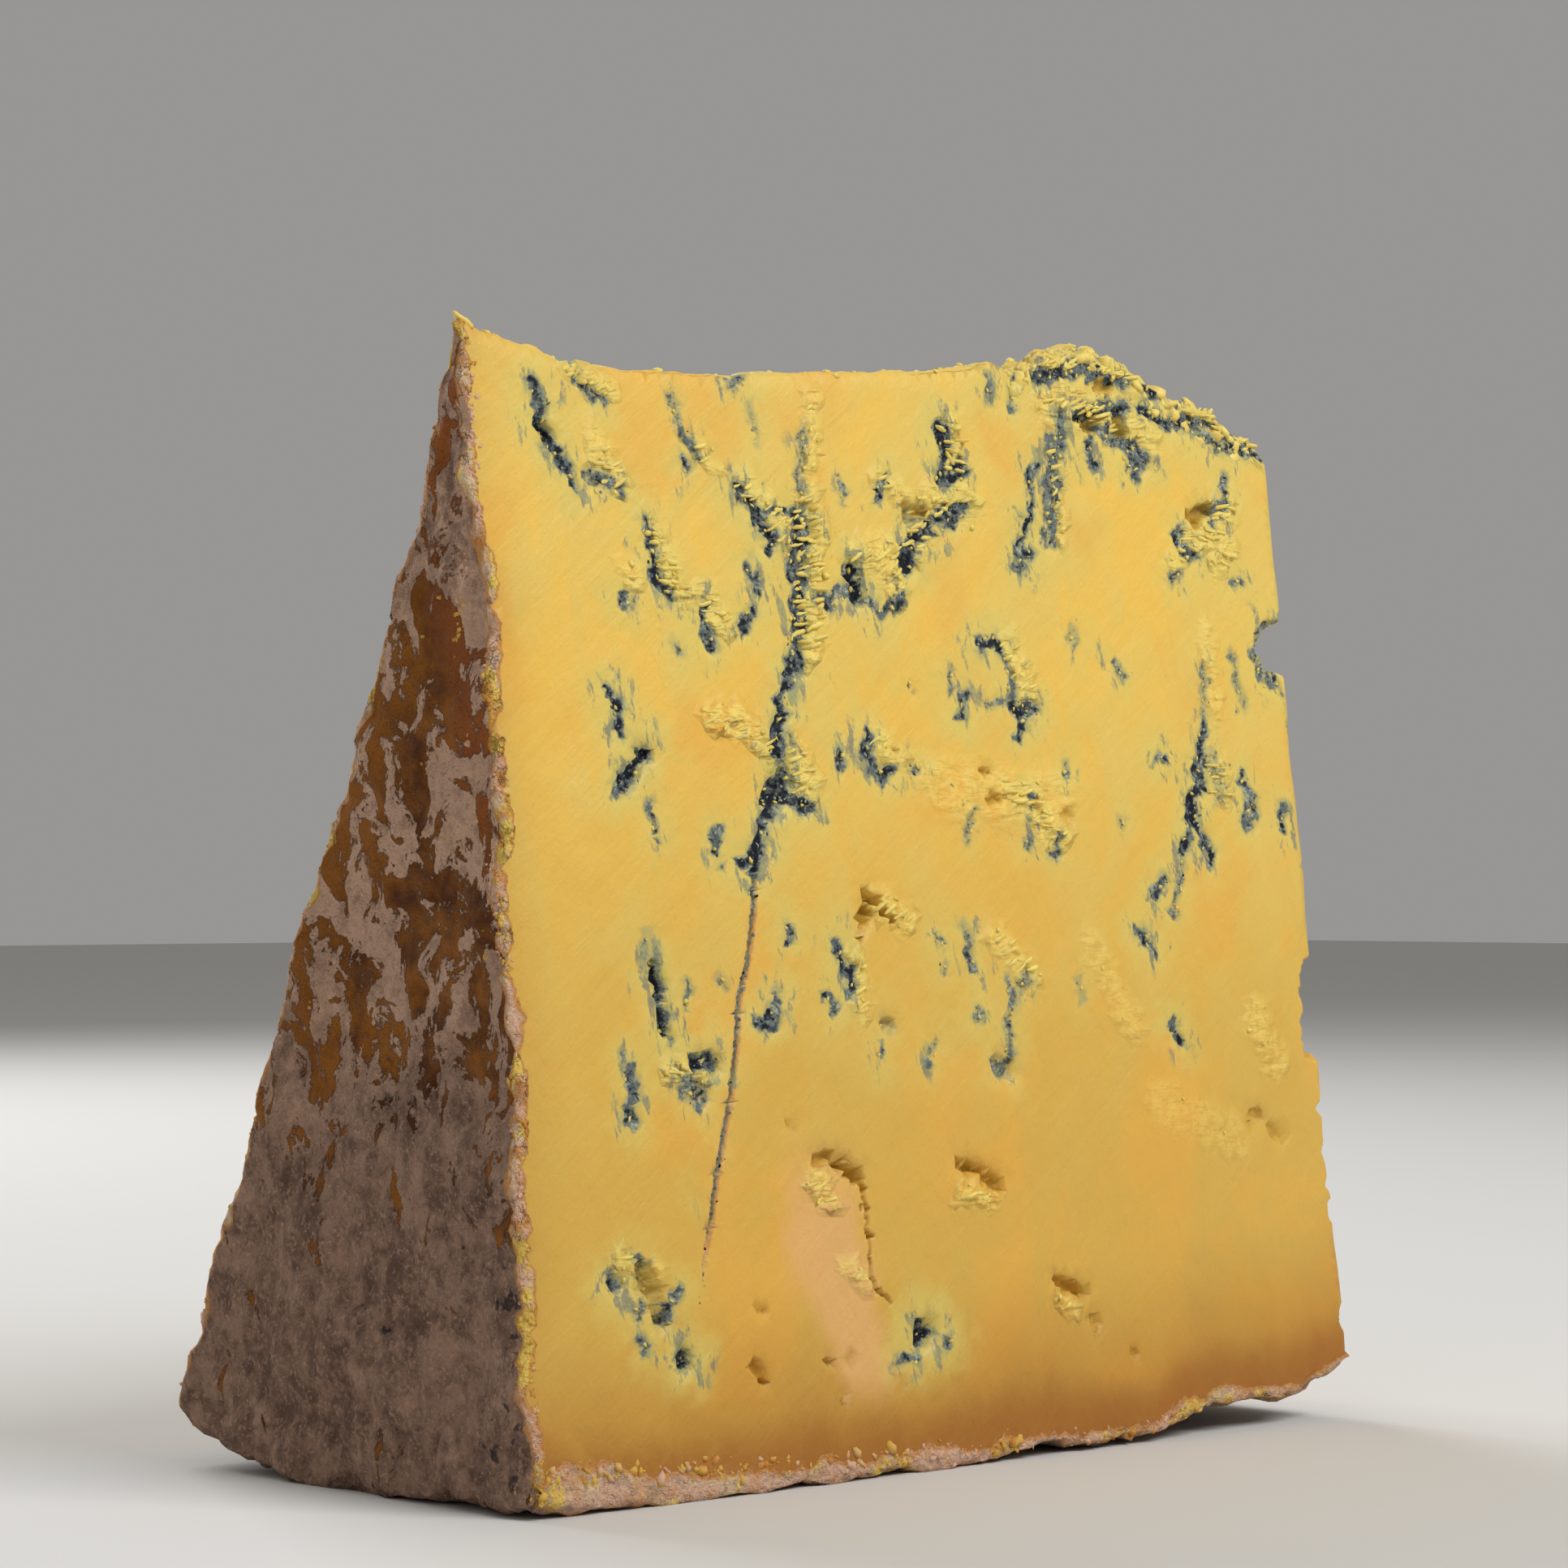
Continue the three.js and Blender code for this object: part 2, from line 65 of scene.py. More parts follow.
# Height of the broken ridge along the length: (x, z).
RIDGE = [
    (-6, 101.2), (0.5, 100.8), (3, 100.1), (5, 99.3), (12, 97.9), (16, 98.3), (20, 98.1), (32, 98.5),
    (42, 99.5), (52, 100.3), (60, 101.4), (65, 102.4), (68.4, 101.6), (71.8, 103.9), (75.3, 105.2),
    (78.8, 105.1), (82.1, 104.7), (85.6, 103.9), (89, 102.2), (92.6, 101.9), (96, 100.5), (98, 98.6),
    (100, 97.6), (102.9, 97.7), (104.2, 95.0), (111, 84),
]

# Mould in the front cut: half width, strength from 0 to 1, depth, and the run of its middle as x and z.
MOULD = [
    (0.6, 0.9, 0.8, [(8.3, 95.5), (9.2, 93.8), (8.6, 92.2), (9.5, 90.5), (12, 87)]),
    (0.8, 1.0, 1.4, [(8.5, 92.2), (8.8, 91.6)]),
    (0.4, 0.7, 0.5, [(13, 98), (13.7, 95.8), (15.5, 94.8)]),
    (0.8, 0.7, 0.5, [(14, 88.2), (17.3, 86.9)]),
    (0.5, 0.6, 0.3, [(24, 95.5), (25.5, 93), (27, 90.5)]),
    (0.5, 0.8, 0.3, [(24.7, 90), (25.1, 89.2)]),
    (0.5, 0.7, 0.3, [(31.5, 97.6), (33, 98)]),
    (0.3, 0.4, 0.1, [(33, 96), (34.2, 92.5)]),
    (0.6, 0.9, 0.6, [(31, 88), (33, 86.5), (33.5, 85), (35.5, 84), (34.5, 82.5)]),
    (0.4, 0.8, 0.3, [(34, 86), (38, 86.3)]),
    (0.6, 0.85, 0.5, [(19.5, 84.5), (20, 82.5), (21, 79), (22.5, 78)]),
    (0.4, 0.8, 0.4, [(17, 78), (17.3, 76.5)]),
    (0.4, 0.8, 0.3, [(31.5, 81.5), (32.5, 79.5)]),
    (0.4, 0.8, 0.3, [(31.7, 77.5), (30.5, 75.7)]),
    (0.6, 0.8, 0.5, [(26, 77), (26.7, 73.3)]),
    (0.4, 0.6, 0.2, [(22.8, 73.5), (23.1, 73)]),
    (0.55, 1.0, 0.6, [(14.7, 69), (15.3, 66)]),
    (0.9, 1.0, 1.4, [(16.2, 62.2), (18.3, 64.3)]),
    (0.5, 0.8, 0.4, [(14.7, 61), (16, 61.8)]),
    (0.5, 0.6, 0.3, [(18.3, 59.5), (18.7, 57)]),
    (0.5, 0.8, 0.4, [(26, 57), (25.8, 55.3)]),
    (0.4, 0.8, 0.3, [(41.7, 65), (41.9, 63.5)]),
    (0.5, 0.8, 0.4, [(45.5, 66.5), (44.7, 64.5), (46.5, 63), (48, 63.5)]),
    (0.4, 0.7, 0.2, [(50.5, 63.5), (51.5, 63.5)]),
    (0.5, 0.4, 0.7, [(51, 71.5), (51.3, 71)]),
    (1.3, 0.8, 1.0, [(38.6, 86), (38, 80), (37.5, 76), (36.7, 72.5)]),
    (0.45, 1.0, 0.9, [(36.7, 72.5), (36, 70.5), (35, 69), (33.5, 64)]),
    (0.4, 0.5, 0.2, [(39.5, 94), (39.3, 90), (38.6, 86)]),
    (1.0, 1.0, 1.5, [(33.8, 62.5), (33, 60)]),
    (0.7, 0.9, 0.8, [(33, 60), (35, 60.3), (37.5, 59.5)]),
    (0.9, 0.9, 1.0, [(34.8, 62.5), (34.2, 60.8)]),
    (0.5, 1.0, 0.8, [(33, 60), (31, 57), (30, 54)]),
    (0.7, 0.9, 0.5, [(28.6, 54.8), (30.3, 55)]),
    (0.6, 0.8, 0.5, [(40, 78.5), (42, 78.2), (44.5, 80)]),
    (1.0, 1.0, 1.4, [(44.7, 81.5), (45.3, 79)]),
    (0.4, 0.8, 0.3, [(46.5, 78.5), (48, 77.5), (50.8, 79.5)]),
    (0.35, 0.5, 0.2, [(43.5, 87.5), (44.3, 89.5)]),
    (0.6, 0.7, 0.5, [(48.5, 88.5), (50, 90.5)]),
    (0.8, 0.9, 0.8, [(57.3, 96), (57.8, 93), (57.2, 90.5)]),
    (0.7, 0.9, 0.7, [(57.2, 91), (60.5, 91.5)]),
    (1.0, 0.8, 0.6, [(60, 88.5), (58, 87), (56.5, 86.5)]),
    (1.2, 0.9, 1.0, [(55, 85.5), (52.5, 84.5), (52.3, 82.5)]),
    (0.4, 0.6, 0.3, [(64, 98.5), (65, 100.5)]),
    (0.4, 0.7, 0.3, [(68, 101.5), (68, 98)]),
    (0.3, 0.9, 0.5, [(70, 92.5), (69, 89), (68, 86), (66.8, 82.5)]),
    (0.6, 0.9, 0.4, [(68.3, 84.3), (68.8, 84)]),
    (1.4, 0.6, 0.5, [(73, 95.5), (72.5, 90), (71.5, 85.5)]),
    (0.6, 0.8, 0.5, [(74, 97.5), (74.5, 95.5)]),
    (0.6, 0.8, 0.5, [(78, 99), (78, 93.5)]),
    (1.6, 0.7, 0.7, [(81, 97), (85, 94.5)]),
    (1.0, 0.8, 0.8, [(77, 98.5), (84, 99.5)]),
    (0.7, 0.8, 0.5, [(83.5, 94.3), (83.8, 93)]),
    (0.8, 0.8, 0.5, [(87, 101.5), (92, 101.3)]),
    (0.4, 0.7, 0.4, [(91.5, 99), (94, 97.5), (97, 96.3), (100, 96), (103, 96.3)]),
    (0.4, 0.6, 0.4, [(90, 100.8), (92.5, 98.6), (95.5, 99.4), (97.5, 97.2)]),
    (0.4, 0.6, 0.4, [(95, 100.5), (98.5, 98.8), (102, 98)]),
    (1.1, 0.8, 0.6, [(72, 101.5), (78, 103), (84, 102)]),
    (0.9, 0.8, 0.6, [(86, 99.5), (90, 98.3), (95, 98.6)]),
    (0.7, 0.8, 0.5, [(96, 98.6), (100, 97), (104, 96)]),
    (0.5, 0.7, 0.4, [(97.7, 93.5), (97.5, 91), (94.5, 88.5)]),
    (0.7, 0.7, 0.7, [(90, 87.5), (90.5, 85), (92, 85)]),
    (0.5, 0.7, 0.4, [(89.5, 83.5), (88, 82.7)]),
    (0.4, 0.6, 0.3, [(97, 83), (99, 82.8)]),
    (1.2, 0.6, 0.3, [(103.8, 79.3), (101.5, 78), (99.8, 76), (101, 73.8), (103, 73)]),
    (0.5, 0.5, 0.4, [(96.5, 76), (97.5, 70.5)]),
    (0.5, 0.5, 0.3, [(92.2, 74), (92, 71.5), (91.3, 68.5)]),
    (0.5, 0.8, 0.5, [(91.3, 68.5), (90.5, 65.5)]),
    (1.2, 0.9, 0.9, [(90.5, 65), (89.8, 62.5), (88.8, 59)]),
    (0.6, 0.9, 0.6, [(88.5, 59.5), (87.3, 56.5)]),
    (0.7, 0.8, 0.6, [(89.7, 58.5), (90.6, 55.5)]),
    (0.25, 0.6, 0.4, [(87, 56), (86.3, 52.5), (85, 49.5)]),
    (1.8, 0.35, 0.3, [(92, 65.5), (93.5, 61.5)]),
    (0.5, 0.7, 0.4, [(96.5, 63.5), (98, 61.5), (96.5, 58.5)]),
    (0.6, 0.8, 0.4, [(102.3, 60.5), (102, 58.3)]),
    (0.5, 0.8, 0.3, [(84.3, 65), (85.2, 65)]),
    (0.4, 0.7, 0.2, [(71, 64.2), (71, 63.2)]),
    (0.3, 0.5, 0.2, [(73.7, 77.5), (73.5, 74.5)]),
    (0.4, 0.6, 0.2, [(79.5, 73.8), (79.8, 73)]),
    (0.7, 0.9, 0.6, [(60.5, 75.2), (62.3, 76), (64, 75)]),
    (0.4, 0.7, 0.3, [(64, 75), (64.5, 71), (65.5, 69.5)]),
    (0.9, 0.9, 0.8, [(65, 69.5), (67.5, 69)]),
    (0.6, 0.9, 0.5, [(66.5, 69), (65.2, 67)]),
    (0.5, 0.6, 0.4, [(56.5, 72.5), (56.7, 71)]),
    (0.6, 0.8, 0.4, [(58.3, 70.3), (57.6, 68.5)]),
    (0.3, 0.5, 0.2, [(61, 69.3), (63.5, 69.6)]),
    (0.5, 0.8, 0.4, [(66, 60.8), (65.8, 59.8)]),
    (0.4, 0.7, 0.4, [(65, 57.5), (65, 56.5)]),
    (0.5, 0.6, 0.4, [(69.5, 57.5), (68.7, 55.7)]),
    (0.35, 0.5, 0.3, [(58.8, 59.7), (57.2, 57)]),
    (0.4, 0.4, 0.2, [(78.5, 59.3), (78.3, 58)]),
    (0.6, 0.8, 0.5, [(82.7, 51.8), (84.2, 53)]),
    (0.6, 1.0, 1.4, [(17.4, 45.5), (18, 42), (18.7, 39.3)]),
    (1.1, 0.3, 0.0, [(16.6, 48.5), (17.2, 46)]),
    (0.3, 0.6, 0.3, [(21, 43.8), (21, 42.3)]),
    (0.3, 0.5, 0.2, [(25.2, 44.7), (25.3, 44.2)]),
    (0.5, 0.9, 0.5, [(29, 41), (31, 40.5), (31.5, 42.7)]),
    (0.6, 0.8, 0.5, [(33.3, 48.6), (33.8, 48.4)]),
    (0.5, 0.9, 0.6, [(40, 47.5), (40.3, 45), (41, 43)]),
    (0.7, 0.3, 0.6, [(44.5, 40.2), (45.5, 39.8)]),
    (0.5, 0.6, 0.3, [(44, 38), (44, 37)]),
    (0.5, 0.7, 0.4, [(37.7, 43.3), (38.7, 41.5)]),
    (0.4, 0.6, 0.3, [(51.6, 38.7), (50.8, 37.2), (50.2, 36)]),
    (0.5, 0.7, 0.5, [(14, 37.5), (14, 34.8), (13.7, 32)]),
    (1.0, 0.9, 1.4, [(21.5, 36.8), (23.7, 37.4)]),
    (0.9, 0.6, 0.5, [(20, 35.5), (21.5, 33.8)]),
    (0.9, 0.9, 1.2, [(10.8, 19), (11.3, 18.8)]),
    (0.4, 0.5, 0.8, [(13, 21), (14, 20.5)]),
    (0.75, 0.2, 2.0, [(13.6, 20), (15, 17.5), (15.8, 15.6)]),
    (0.4, 0.7, 0.6, [(16.5, 15.5), (17.5, 18)]),
    (0.6, 0.7, 0.4, [(13.5, 13.5), (13.3, 14.2)]),
    (0.4, 0.6, 0.3, [(13, 16.8), (13, 16.2)]),
    (0.75, 1.0, 1.4, [(18.2, 12.2), (18.6, 11.8)]),
    (1.5, 1.0, 2.0, [(47, 12.8), (48.2, 12.4)]),
    (0.5, 0.7, 0.4, [(44, 10.2), (46, 10)]),
    (0.4, 0.7, 0.4, [(50, 11), (50.4, 11.4)]),
    (0.4, 0.6, 0.3, [(52.6, 47.6), (53, 47.2)]),
    (0.3, 0.5, 0.3, [(53, 45.6), (53, 45)]),
    (0.5, 0.7, 0.4, [(56.5, 48.5), (56.3, 46.5), (56.8, 45)]),
    (0.4, 0.6, 0.3, [(56.6, 40.8), (57.3, 40.3)]),
    (0.5, 0.6, 0.4, [(61.5, 44), (61, 38.5), (60.5, 37)]),
    (0.4, 0.5, 0.3, [(63.5, 44.5), (62.8, 42.5), (61.4, 41)]),
    (1.0, 0.6, 1.2, [(59.5, 35.9), (59.9, 35.7)]),
    (0.3, 0.4, 0.2, [(70.7, 44), (70.5, 41.5)]),
    (0.5, 0.8, 0.5, [(79.5, 48), (82, 46.3)]),
    (0.8, 0.8, 0.8, [(83.2, 39.2), (84.4, 37.8)]),
]

# The long skewer hole's lower part, a thin groove with brown-red edges.
GROOVE = (0.26, 0.9, 0.6, [
    (30, 54), (29.5, 50), (28.5, 46), (27.3, 43), (26.5, 38.5), (25.3, 34), (24, 30), (23, 27), (22, 23),
    (21, 20), (20.3, 16.5),
])

# The crack that runs down from the largest tear.
CRACK = [(40.3, 25.4), (41, 22.6), (41.3, 20.6), (40.9, 18.6), (42, 16.9), (43.8, 15.2)]

# Pockets and tears without mould: half width, strength of their darker colour (partly painted shade inside
# the pocket), depth and run.
TEARS = [
    (0.9, 1.0, 1.2, [(53.4, 87.1), (55.2, 87.3)]),
    (1.0, 1.0, 1.4, [(77.6, 97.3), (79.2, 97.6)]),
    (1.2, 1.0, 1.6, [(82, 97), (82.8, 98.3)]),
    (0.8, 1.0, 1.2, [(80, 101), (82, 101.2)]),
    (0.9, 1.0, 1.4, [(92.2, 89.2), (94.6, 89.6)]),
    (0.5, 0.8, 0.8, [(44.6, 40.1), (45.4, 39.9)]),
    (0.45, 0.8, 1.2, [(34.6, 28.4), (37, 28.7), (39.4, 28.1)]),
    (0.6, 1.0, 1.7, [(37.6, 27.8), (39.6, 26.8), (40.4, 25.4)]),
    (0.22, 1.0, 1.2, CRACK),
    (0.55, 0.9, 1.4, [(52.8, 27.1), (55, 26.3), (57.4, 25.2)]),
    (0.6, 0.7, 1.3, [(65, 15.6), (66.6, 15.3), (68.2, 14.8)]),
    (0.6, 0.5, 0.6, [(69.2, 12.3), (70, 11.2)]),
    (0.6, 0.7, 1.0, [(25.9, 10.9), (27.1, 9.2)]),
    (0.5, 0.7, 0.7, [(34.5, 10.4), (35, 10.2)]),
    (0.4, 0.6, 0.5, [(37.7, 11.1), (38.3, 10.9)]),
    (0.4, 0.6, 0.5, [(36, 7.7), (36.6, 7.3)]),
    (0.4, 1.0, 1.4, [(43.4, 50.4), (42.5, 48)]),
    (0.45, 1.0, 1.6, [(43.8, 51.9), (46.6, 50.1)]),
    (0.7, 0.8, 0.9, [(60.2, 63.2), (60.9, 62.8)]),
    (0.6, 0.8, 0.8, [(61.3, 61.2), (61.9, 60.8)]),
    (0.4, 0.5, 0.5, [(27.7, 15.9), (28.4, 15.5)]),
    (0.4, 0.5, 0.5, [(32.8, 31.7), (33.4, 31.3)]),
    (0.7, 0.6, 0.7, [(94, 30.2), (95.2, 29.8)]),
    (0.6, 0.6, 0.7, [(97, 28.7), (98.4, 28.2)]),
    (0.5, 0.5, 0.5, [(74.4, 8.7), (75, 8.3)]),
    (0.5, 0.5, 0.5, [(71, 59.3), (72, 58.8)]),
]

# Bands of the front cut where the curd is crumbled or dragged into curls: half width, amount, run.
CRUMBLED = [
    (2.0, 1.0, [(39.6, 88), (39.4, 80), (38.8, 74)]), (1.6, 0.8, [(31.5, 88.5), (35.5, 86.5), (37, 83.5)]),
    (2.2, 0.9, [(53, 84), (56, 88.5), (61, 89)]), (1.8, 0.9, [(58.8, 96.5), (59.6, 91)]),
    (2.2, 0.9, [(45.5, 82.5), (49.5, 83.5), (50, 80)]), (3.2, 0.75, [(73, 99), (79, 99), (86, 96.5)]),
    (2.0, 0.6, [(70, 102.3), (78, 103.5), (86, 102.3)]), (2.2, 0.6, [(90, 100), (96, 99.5), (103, 96.5)]),
    (1.5, 0.8, [(20.8, 84), (22.4, 79), (24.5, 78.5)]), (1.5, 0.8, [(26.6, 78.3), (28.4, 75.5)]),
    (1.8, 0.8, [(14.8, 91), (17, 87.5)]), (1.4, 0.7, [(26, 92.6), (28.2, 90.3)]),
    (2.0, 0.8, [(91, 87), (95, 87.5), (98, 91)]), (1.5, 0.7, [(88.5, 84.3), (91.4, 86)]),
    (1.7, 1.0, [(35.8, 65), (37.4, 61)]), (1.9, 0.9, [(26.4, 67.4), (30, 66.6), (33, 64.6)]),
    (1.5, 0.8, [(18.5, 36.8), (22, 36.4)]), (1.8, 0.8, [(34.6, 26.5), (36.4, 24.6)]),
    (1.6, 0.6, [(60, 48), (64.5, 44)]), (2.2, 0.9, [(64, 61.5), (69.5, 57.5)]),
    (1.4, 0.8, [(53.2, 24.4), (56.6, 24)]), (1.9, 0.8, [(64.8, 75.5), (66.8, 71)]),
    (1.9, 0.8, [(92.6, 65), (93.8, 61.5)]), (1.5, 0.8, [(46.4, 66.2), (48.8, 64.8)]),
    (1.2, 0.6, [(41.8, 46.5), (42.4, 41)]), (1.6, 0.8, [(44.4, 51.2), (48.4, 49.6)]),
    (1.3, 0.7, [(72.6, 94.5), (73.6, 86)]), (1.6, 0.7, [(95, 84.5), (97.5, 86.5)]),
    (1.5, 0.6, [(12, 97.2), (17.5, 95.6)]), (1.2, 0.6, [(17, 80.6), (18.2, 79)]),
    (1.3, 0.6, [(64.6, 14.4), (66.4, 13)]), (1.4, 0.6, [(11.5, 21), (15, 19.6)]),
    (1.4, 0.7, [(49, 90.6), (52, 88.6)]), (1.2, 0.6, [(38.4, 18.2), (40.4, 17.4)]),
    (3.5, 0.45, [(54, 62), (62, 61), (70, 61)]), (3.0, 0.3, [(81, 32), (91, 28)]),
    (2.5, 0.5, [(95.5, 40), (98, 35)]), (2.2, 0.35, [(73, 47), (77.5, 39)]),
    (1.5, 0.5, [(93, 78), (93.4, 70)]), (1.2, 0.6, [(41, 97), (40.4, 90)]),
]

# Broad green-grey stain around the mould: half width, strength, run.
STAINS = [
    (3.2, 0.5, [(76, 76.5), (79.5, 73)]), (4.5, 0.35, [(33, 84), (40, 80), (40, 70)]),
    (4.5, 0.45, [(88, 62), (94, 63)]), (3.5, 0.4, [(58, 46), (63, 42)]), (3.5, 0.4, [(91, 83), (97, 88)]),
    (5.0, 0.45, [(76, 96), (100, 98)]), (3.5, 0.4, [(55, 88), (60, 90)]), (3.0, 0.4, [(15, 90), (10, 92)]),
    (2.5, 0.35, [(20, 27), (21, 24)]), (3.5, 0.4, [(12, 19), (17, 15)]), (3.0, 0.4, [(44, 64), (48, 64)]),
    (3.0, 0.4, [(20, 36), (23, 35)]), (2.8, 0.35, [(47, 12.5), (48, 12)]), (3.0, 0.35, [(17, 47), (18, 40)]),
    (3.5, 0.35, [(62, 74), (67, 69)]), (3.0, 0.35, [(22, 80), (27, 73)]), (3.0, 0.3, [(83, 48), (85, 38)]),
    (2.5, 0.3, [(14, 36), (14, 33)]), (3.0, 0.3, [(41, 46), (44, 39)]), (2.5, 0.35, [(16, 63), (19, 57)]),
    (1.5, 0.3, [(29, 50), (26, 38), (22, 24)]), (3.0, 0.35, [(70, 92), (72, 86)]),
]

# Bites out of the edge between the front cut and the cut end: height, half height, reach, depth.
BITES = [
    (76.3, 2.9, 4.0, 7.0), (41.6, 4.6, 2.1, 4.0), (37.8, 2.4, 2.9, 4.0), (30.5, 1.0, 0.9, 1.5),
    (26.0, 1.2, 0.8, 1.5), (23.0, 1.0, 0.7, 1.2), (20.5, 1.2, 0.8, 1.5), (9.5, 1.5, 0.6, 1.2),
]

# Height of the crumbled crust above the underside along the front cut: (x, height).
CRUST_HEIGHT = [
    (0, 3.2), (5, 3.6), (20, 2.6), (40, 1.8), (56, 1.6), (62, 0.9), (75, 0.9), (80, 2.3), (86, 2.2),
    (90, 1.1), (104, 0.9),
]

# Radius of the round between two surfaces.
EDGE_ROUNDS = [
    ("rind", "under", 1.2), ("rind", "front", 0.9), ("rind", "back", 0.6), ("rind", "top", 0.7),
    ("under", "front", 1.0), ("under", "back", 2.4), ("under", "end", 0.8), ("front", "end", 0.45),
    ("back", "end", 0.5), ("end", "top", 1.2), ("front", "top", 0.7), ("back", "top", 0.7),
]


def srgb(red, green, blue):
    """The linear colour of a screen colour given from 0 to 255."""
    shares = (red / 255, green / 255, blue / 255)
    return tuple(c / 12.92 if c <= 0.04045 else ((c + 0.055) / 1.055) ** 2.4 for c in shares)


def size_property(name, description, default):
    return FloatProperty(name=name, description=description, default=default, unit="LENGTH", precision=5)


def share_property(name, description, default):
    return FloatProperty(name=name, description=description, default=default)


def colour_property(name, description, default):
    return FloatVectorProperty(
        name=name, description=description, default=default, size=3, subtype="COLOR", min=0, max=1
    )


class WedgeSizes(bpy.types.PropertyGroup):
    """Sizes of the wedge and its crumbs."""

    length: size_property("Length", "Rind end to cut end at the foot", 0.1052)
    back_foot: size_property("Foot width", "Where the back cut would meet the board at the rind end", 0.0536)
    rind_bump: size_property("Rind lumps", "Height of the lumps of the rind", 0.00055)
    fine_edge: size_property("Fine mesh", "Edge length of the mesh in the veins", 0.00036)
    plain_edge: size_property("Plain mesh", "Edge length of the mesh on smooth paste", 0.0012)
    rind_edge: size_property("Rind mesh", "Edge length of the mesh on the rind", 0.00066)
    rib_width: size_property("Rib width", "Usual width of a rib of curd", 0.00062)
    crumb_radius: size_property("Mould crumb", "Usual radius of a crumb of mould", 0.00016)
    crust_radius: size_property("Crust crumb", "Usual radius of a crumb of crust", 0.00030)
    front_lean: share_property("Front lean", "How far the front cut leans back", FRONT_LEAN)
    back_lean: share_property("Back lean", "How far the back cut leans forward", BACK_LEAN)
    back_skew: share_property("Back drift", "Drift of the back cut along the wedge", 0.045)
    end_lean: share_property("End lean", "How far the cut end leans in", 0.012)


class CheeseColours(bpy.types.PropertyGroup):
    """Colours of the paste, the mould and the rind."""

    paste: colour_property("Paste", "Cut paste", srgb(230, 187, 82))
    # Painted shade: the paste is darker lower down the cut, where the light from above falls off.
    shaded_low_paste: colour_property("Lower paste", "Paste lower down, nearer to the rind", srgb(203, 162, 71))
    # Browner paste right above the rind, with painted shade and orange bounce light low near the board.
    deep_paste_and_shade: colour_property("Deep paste", "Paste right above the rind", srgb(150, 88, 14))
    paste_pale: colour_property("Pale paste", "Paler mottling of the paste", srgb(221, 189, 94))
    curd: colour_property("Curd", "Crumbled and curled curd", srgb(238, 213, 112))
    stain: colour_property("Stain", "Green-yellow halo round the mould", srgb(212, 194, 102))
    # Partly painted shade: pockets are darker ochre the deeper they are.
    hollow: colour_property("Hollow", "Depth of a pocket", srgb(178, 136, 34))
    mould: colour_property("Mould", "Blue-grey mould", srgb(103, 112, 110))
    mould_dark: colour_property("Dark mould", "Core of the mould", srgb(26, 30, 40))
    mould_pale: colour_property("Pale mould", "Dusty bloom on the mould", srgb(170, 174, 152))
    haze: colour_property("Haze", "Grey-green paste next to the mould", srgb(146, 150, 108))
    rind: colour_property("Rind", "Dusty rind", srgb(163, 131, 110))
    rind_dark: colour_property("Dark rind", "Dark blotches of the rind", srgb(104, 80, 68))
    rind_brown: colour_property("Brown rind", "Chestnut patches of the rind", srgb(92, 52, 26))
    rind_ochre: colour_property("Ochre rind", "Ochre patches of the rind", srgb(152, 94, 34))
    rind_orange: colour_property("Orange rind", "Orange-brown patches near the cut", srgb(152, 86, 44))
    rind_pink: colour_property("Pink rind", "Pinkish bloom over the brown patches", srgb(204, 166, 140))
    paste_pink: colour_property(
        "Pink paste", "Peach-coloured smear low on the front cut", srgb(221, 171, 112)
    )
    paste_orange: colour_property("Orange paste", "Deeper clouds of the paste", srgb(226, 167, 66))
    crust: colour_property("Crust", "Pale broken edge of the rind", srgb(212, 188, 152))
    crust_orange: colour_property("Orange crust", "Orange crumbs of the broken edge", srgb(190, 128, 58))
    groove: colour_property("Groove", "Line of the skewer hole", srgb(78, 62, 56))
    groove_edge: colour_property("Groove edge", "Browned paste beside the skewer hole", srgb(204, 144, 92))
    floor: colour_property("Floor", "Studio floor", (0.62, 0.61, 0.59))


# Values at the corners of a block of 64 x 64 x 64 cells, which repeats in every direction.
CHANCE = np.random.default_rng(7).uniform(-1.4, 1.4, 64**3)


def noise(points, size, seed=0):
    """Smooth noise from about -1 to 1 at n points, with lumps of a size in the points' unit."""
    scaled = np.asarray(points, float) / size + np.array([17.31, 29.17, 41.73]) * (seed + 1)
    cell = np.floor(scaled).astype(np.int64)
    part = (scaled - cell).T
    fx, fy, fz = part * part * (3 - 2 * part)
    low, high = (cell & 63).T, ((cell + 1) & 63).T
    (x0, y0, z0), (x1, y1, z1) = ((i << 12, j << 6, k) for i, j, k in (low, high))
    near = CHANCE[x0 + y0 + z0] * (1 - fx) + CHANCE[x1 + y0 + z0] * fx
    side = CHANCE[x0 + y1 + z0] * (1 - fx) + CHANCE[x1 + y1 + z0] * fx
    over = CHANCE[x0 + y0 + z1] * (1 - fx) + CHANCE[x1 + y0 + z1] * fx
    far = CHANCE[x0 + y1 + z1] * (1 - fx) + CHANCE[x1 + y1 + z1] * fx
    return (near * (1 - fy) + side * fy) * (1 - fz) + (over * (1 - fy) + far * fy) * fz


def step(low, high, value):
    """A smooth rise from 0 at low to 1 at high."""
    t = np.clip((value - low) / (high - low), 0, 1)
    return t * t * (3 - 2 * t)


def on_plane(u, v):
    return np.stack((u, v, np.zeros_like(u)), axis=1)


def distance_to_run(points, run):
    """Distance from n points of a plane to a run of straight pieces."""
    nearest = np.full(len(points), np.inf)
    for start, stop in zip(run[:-1], run[1:]):
        start, along = np.array(start, float), np.subtract(stop, start).astype(float)
        share = np.clip((points - start) @ along / max(along @ along, 1e-9), 0, 1)
        nearest = np.minimum(nearest, np.linalg.norm(points - start - share[:, None] * along, axis=1))
    return nearest


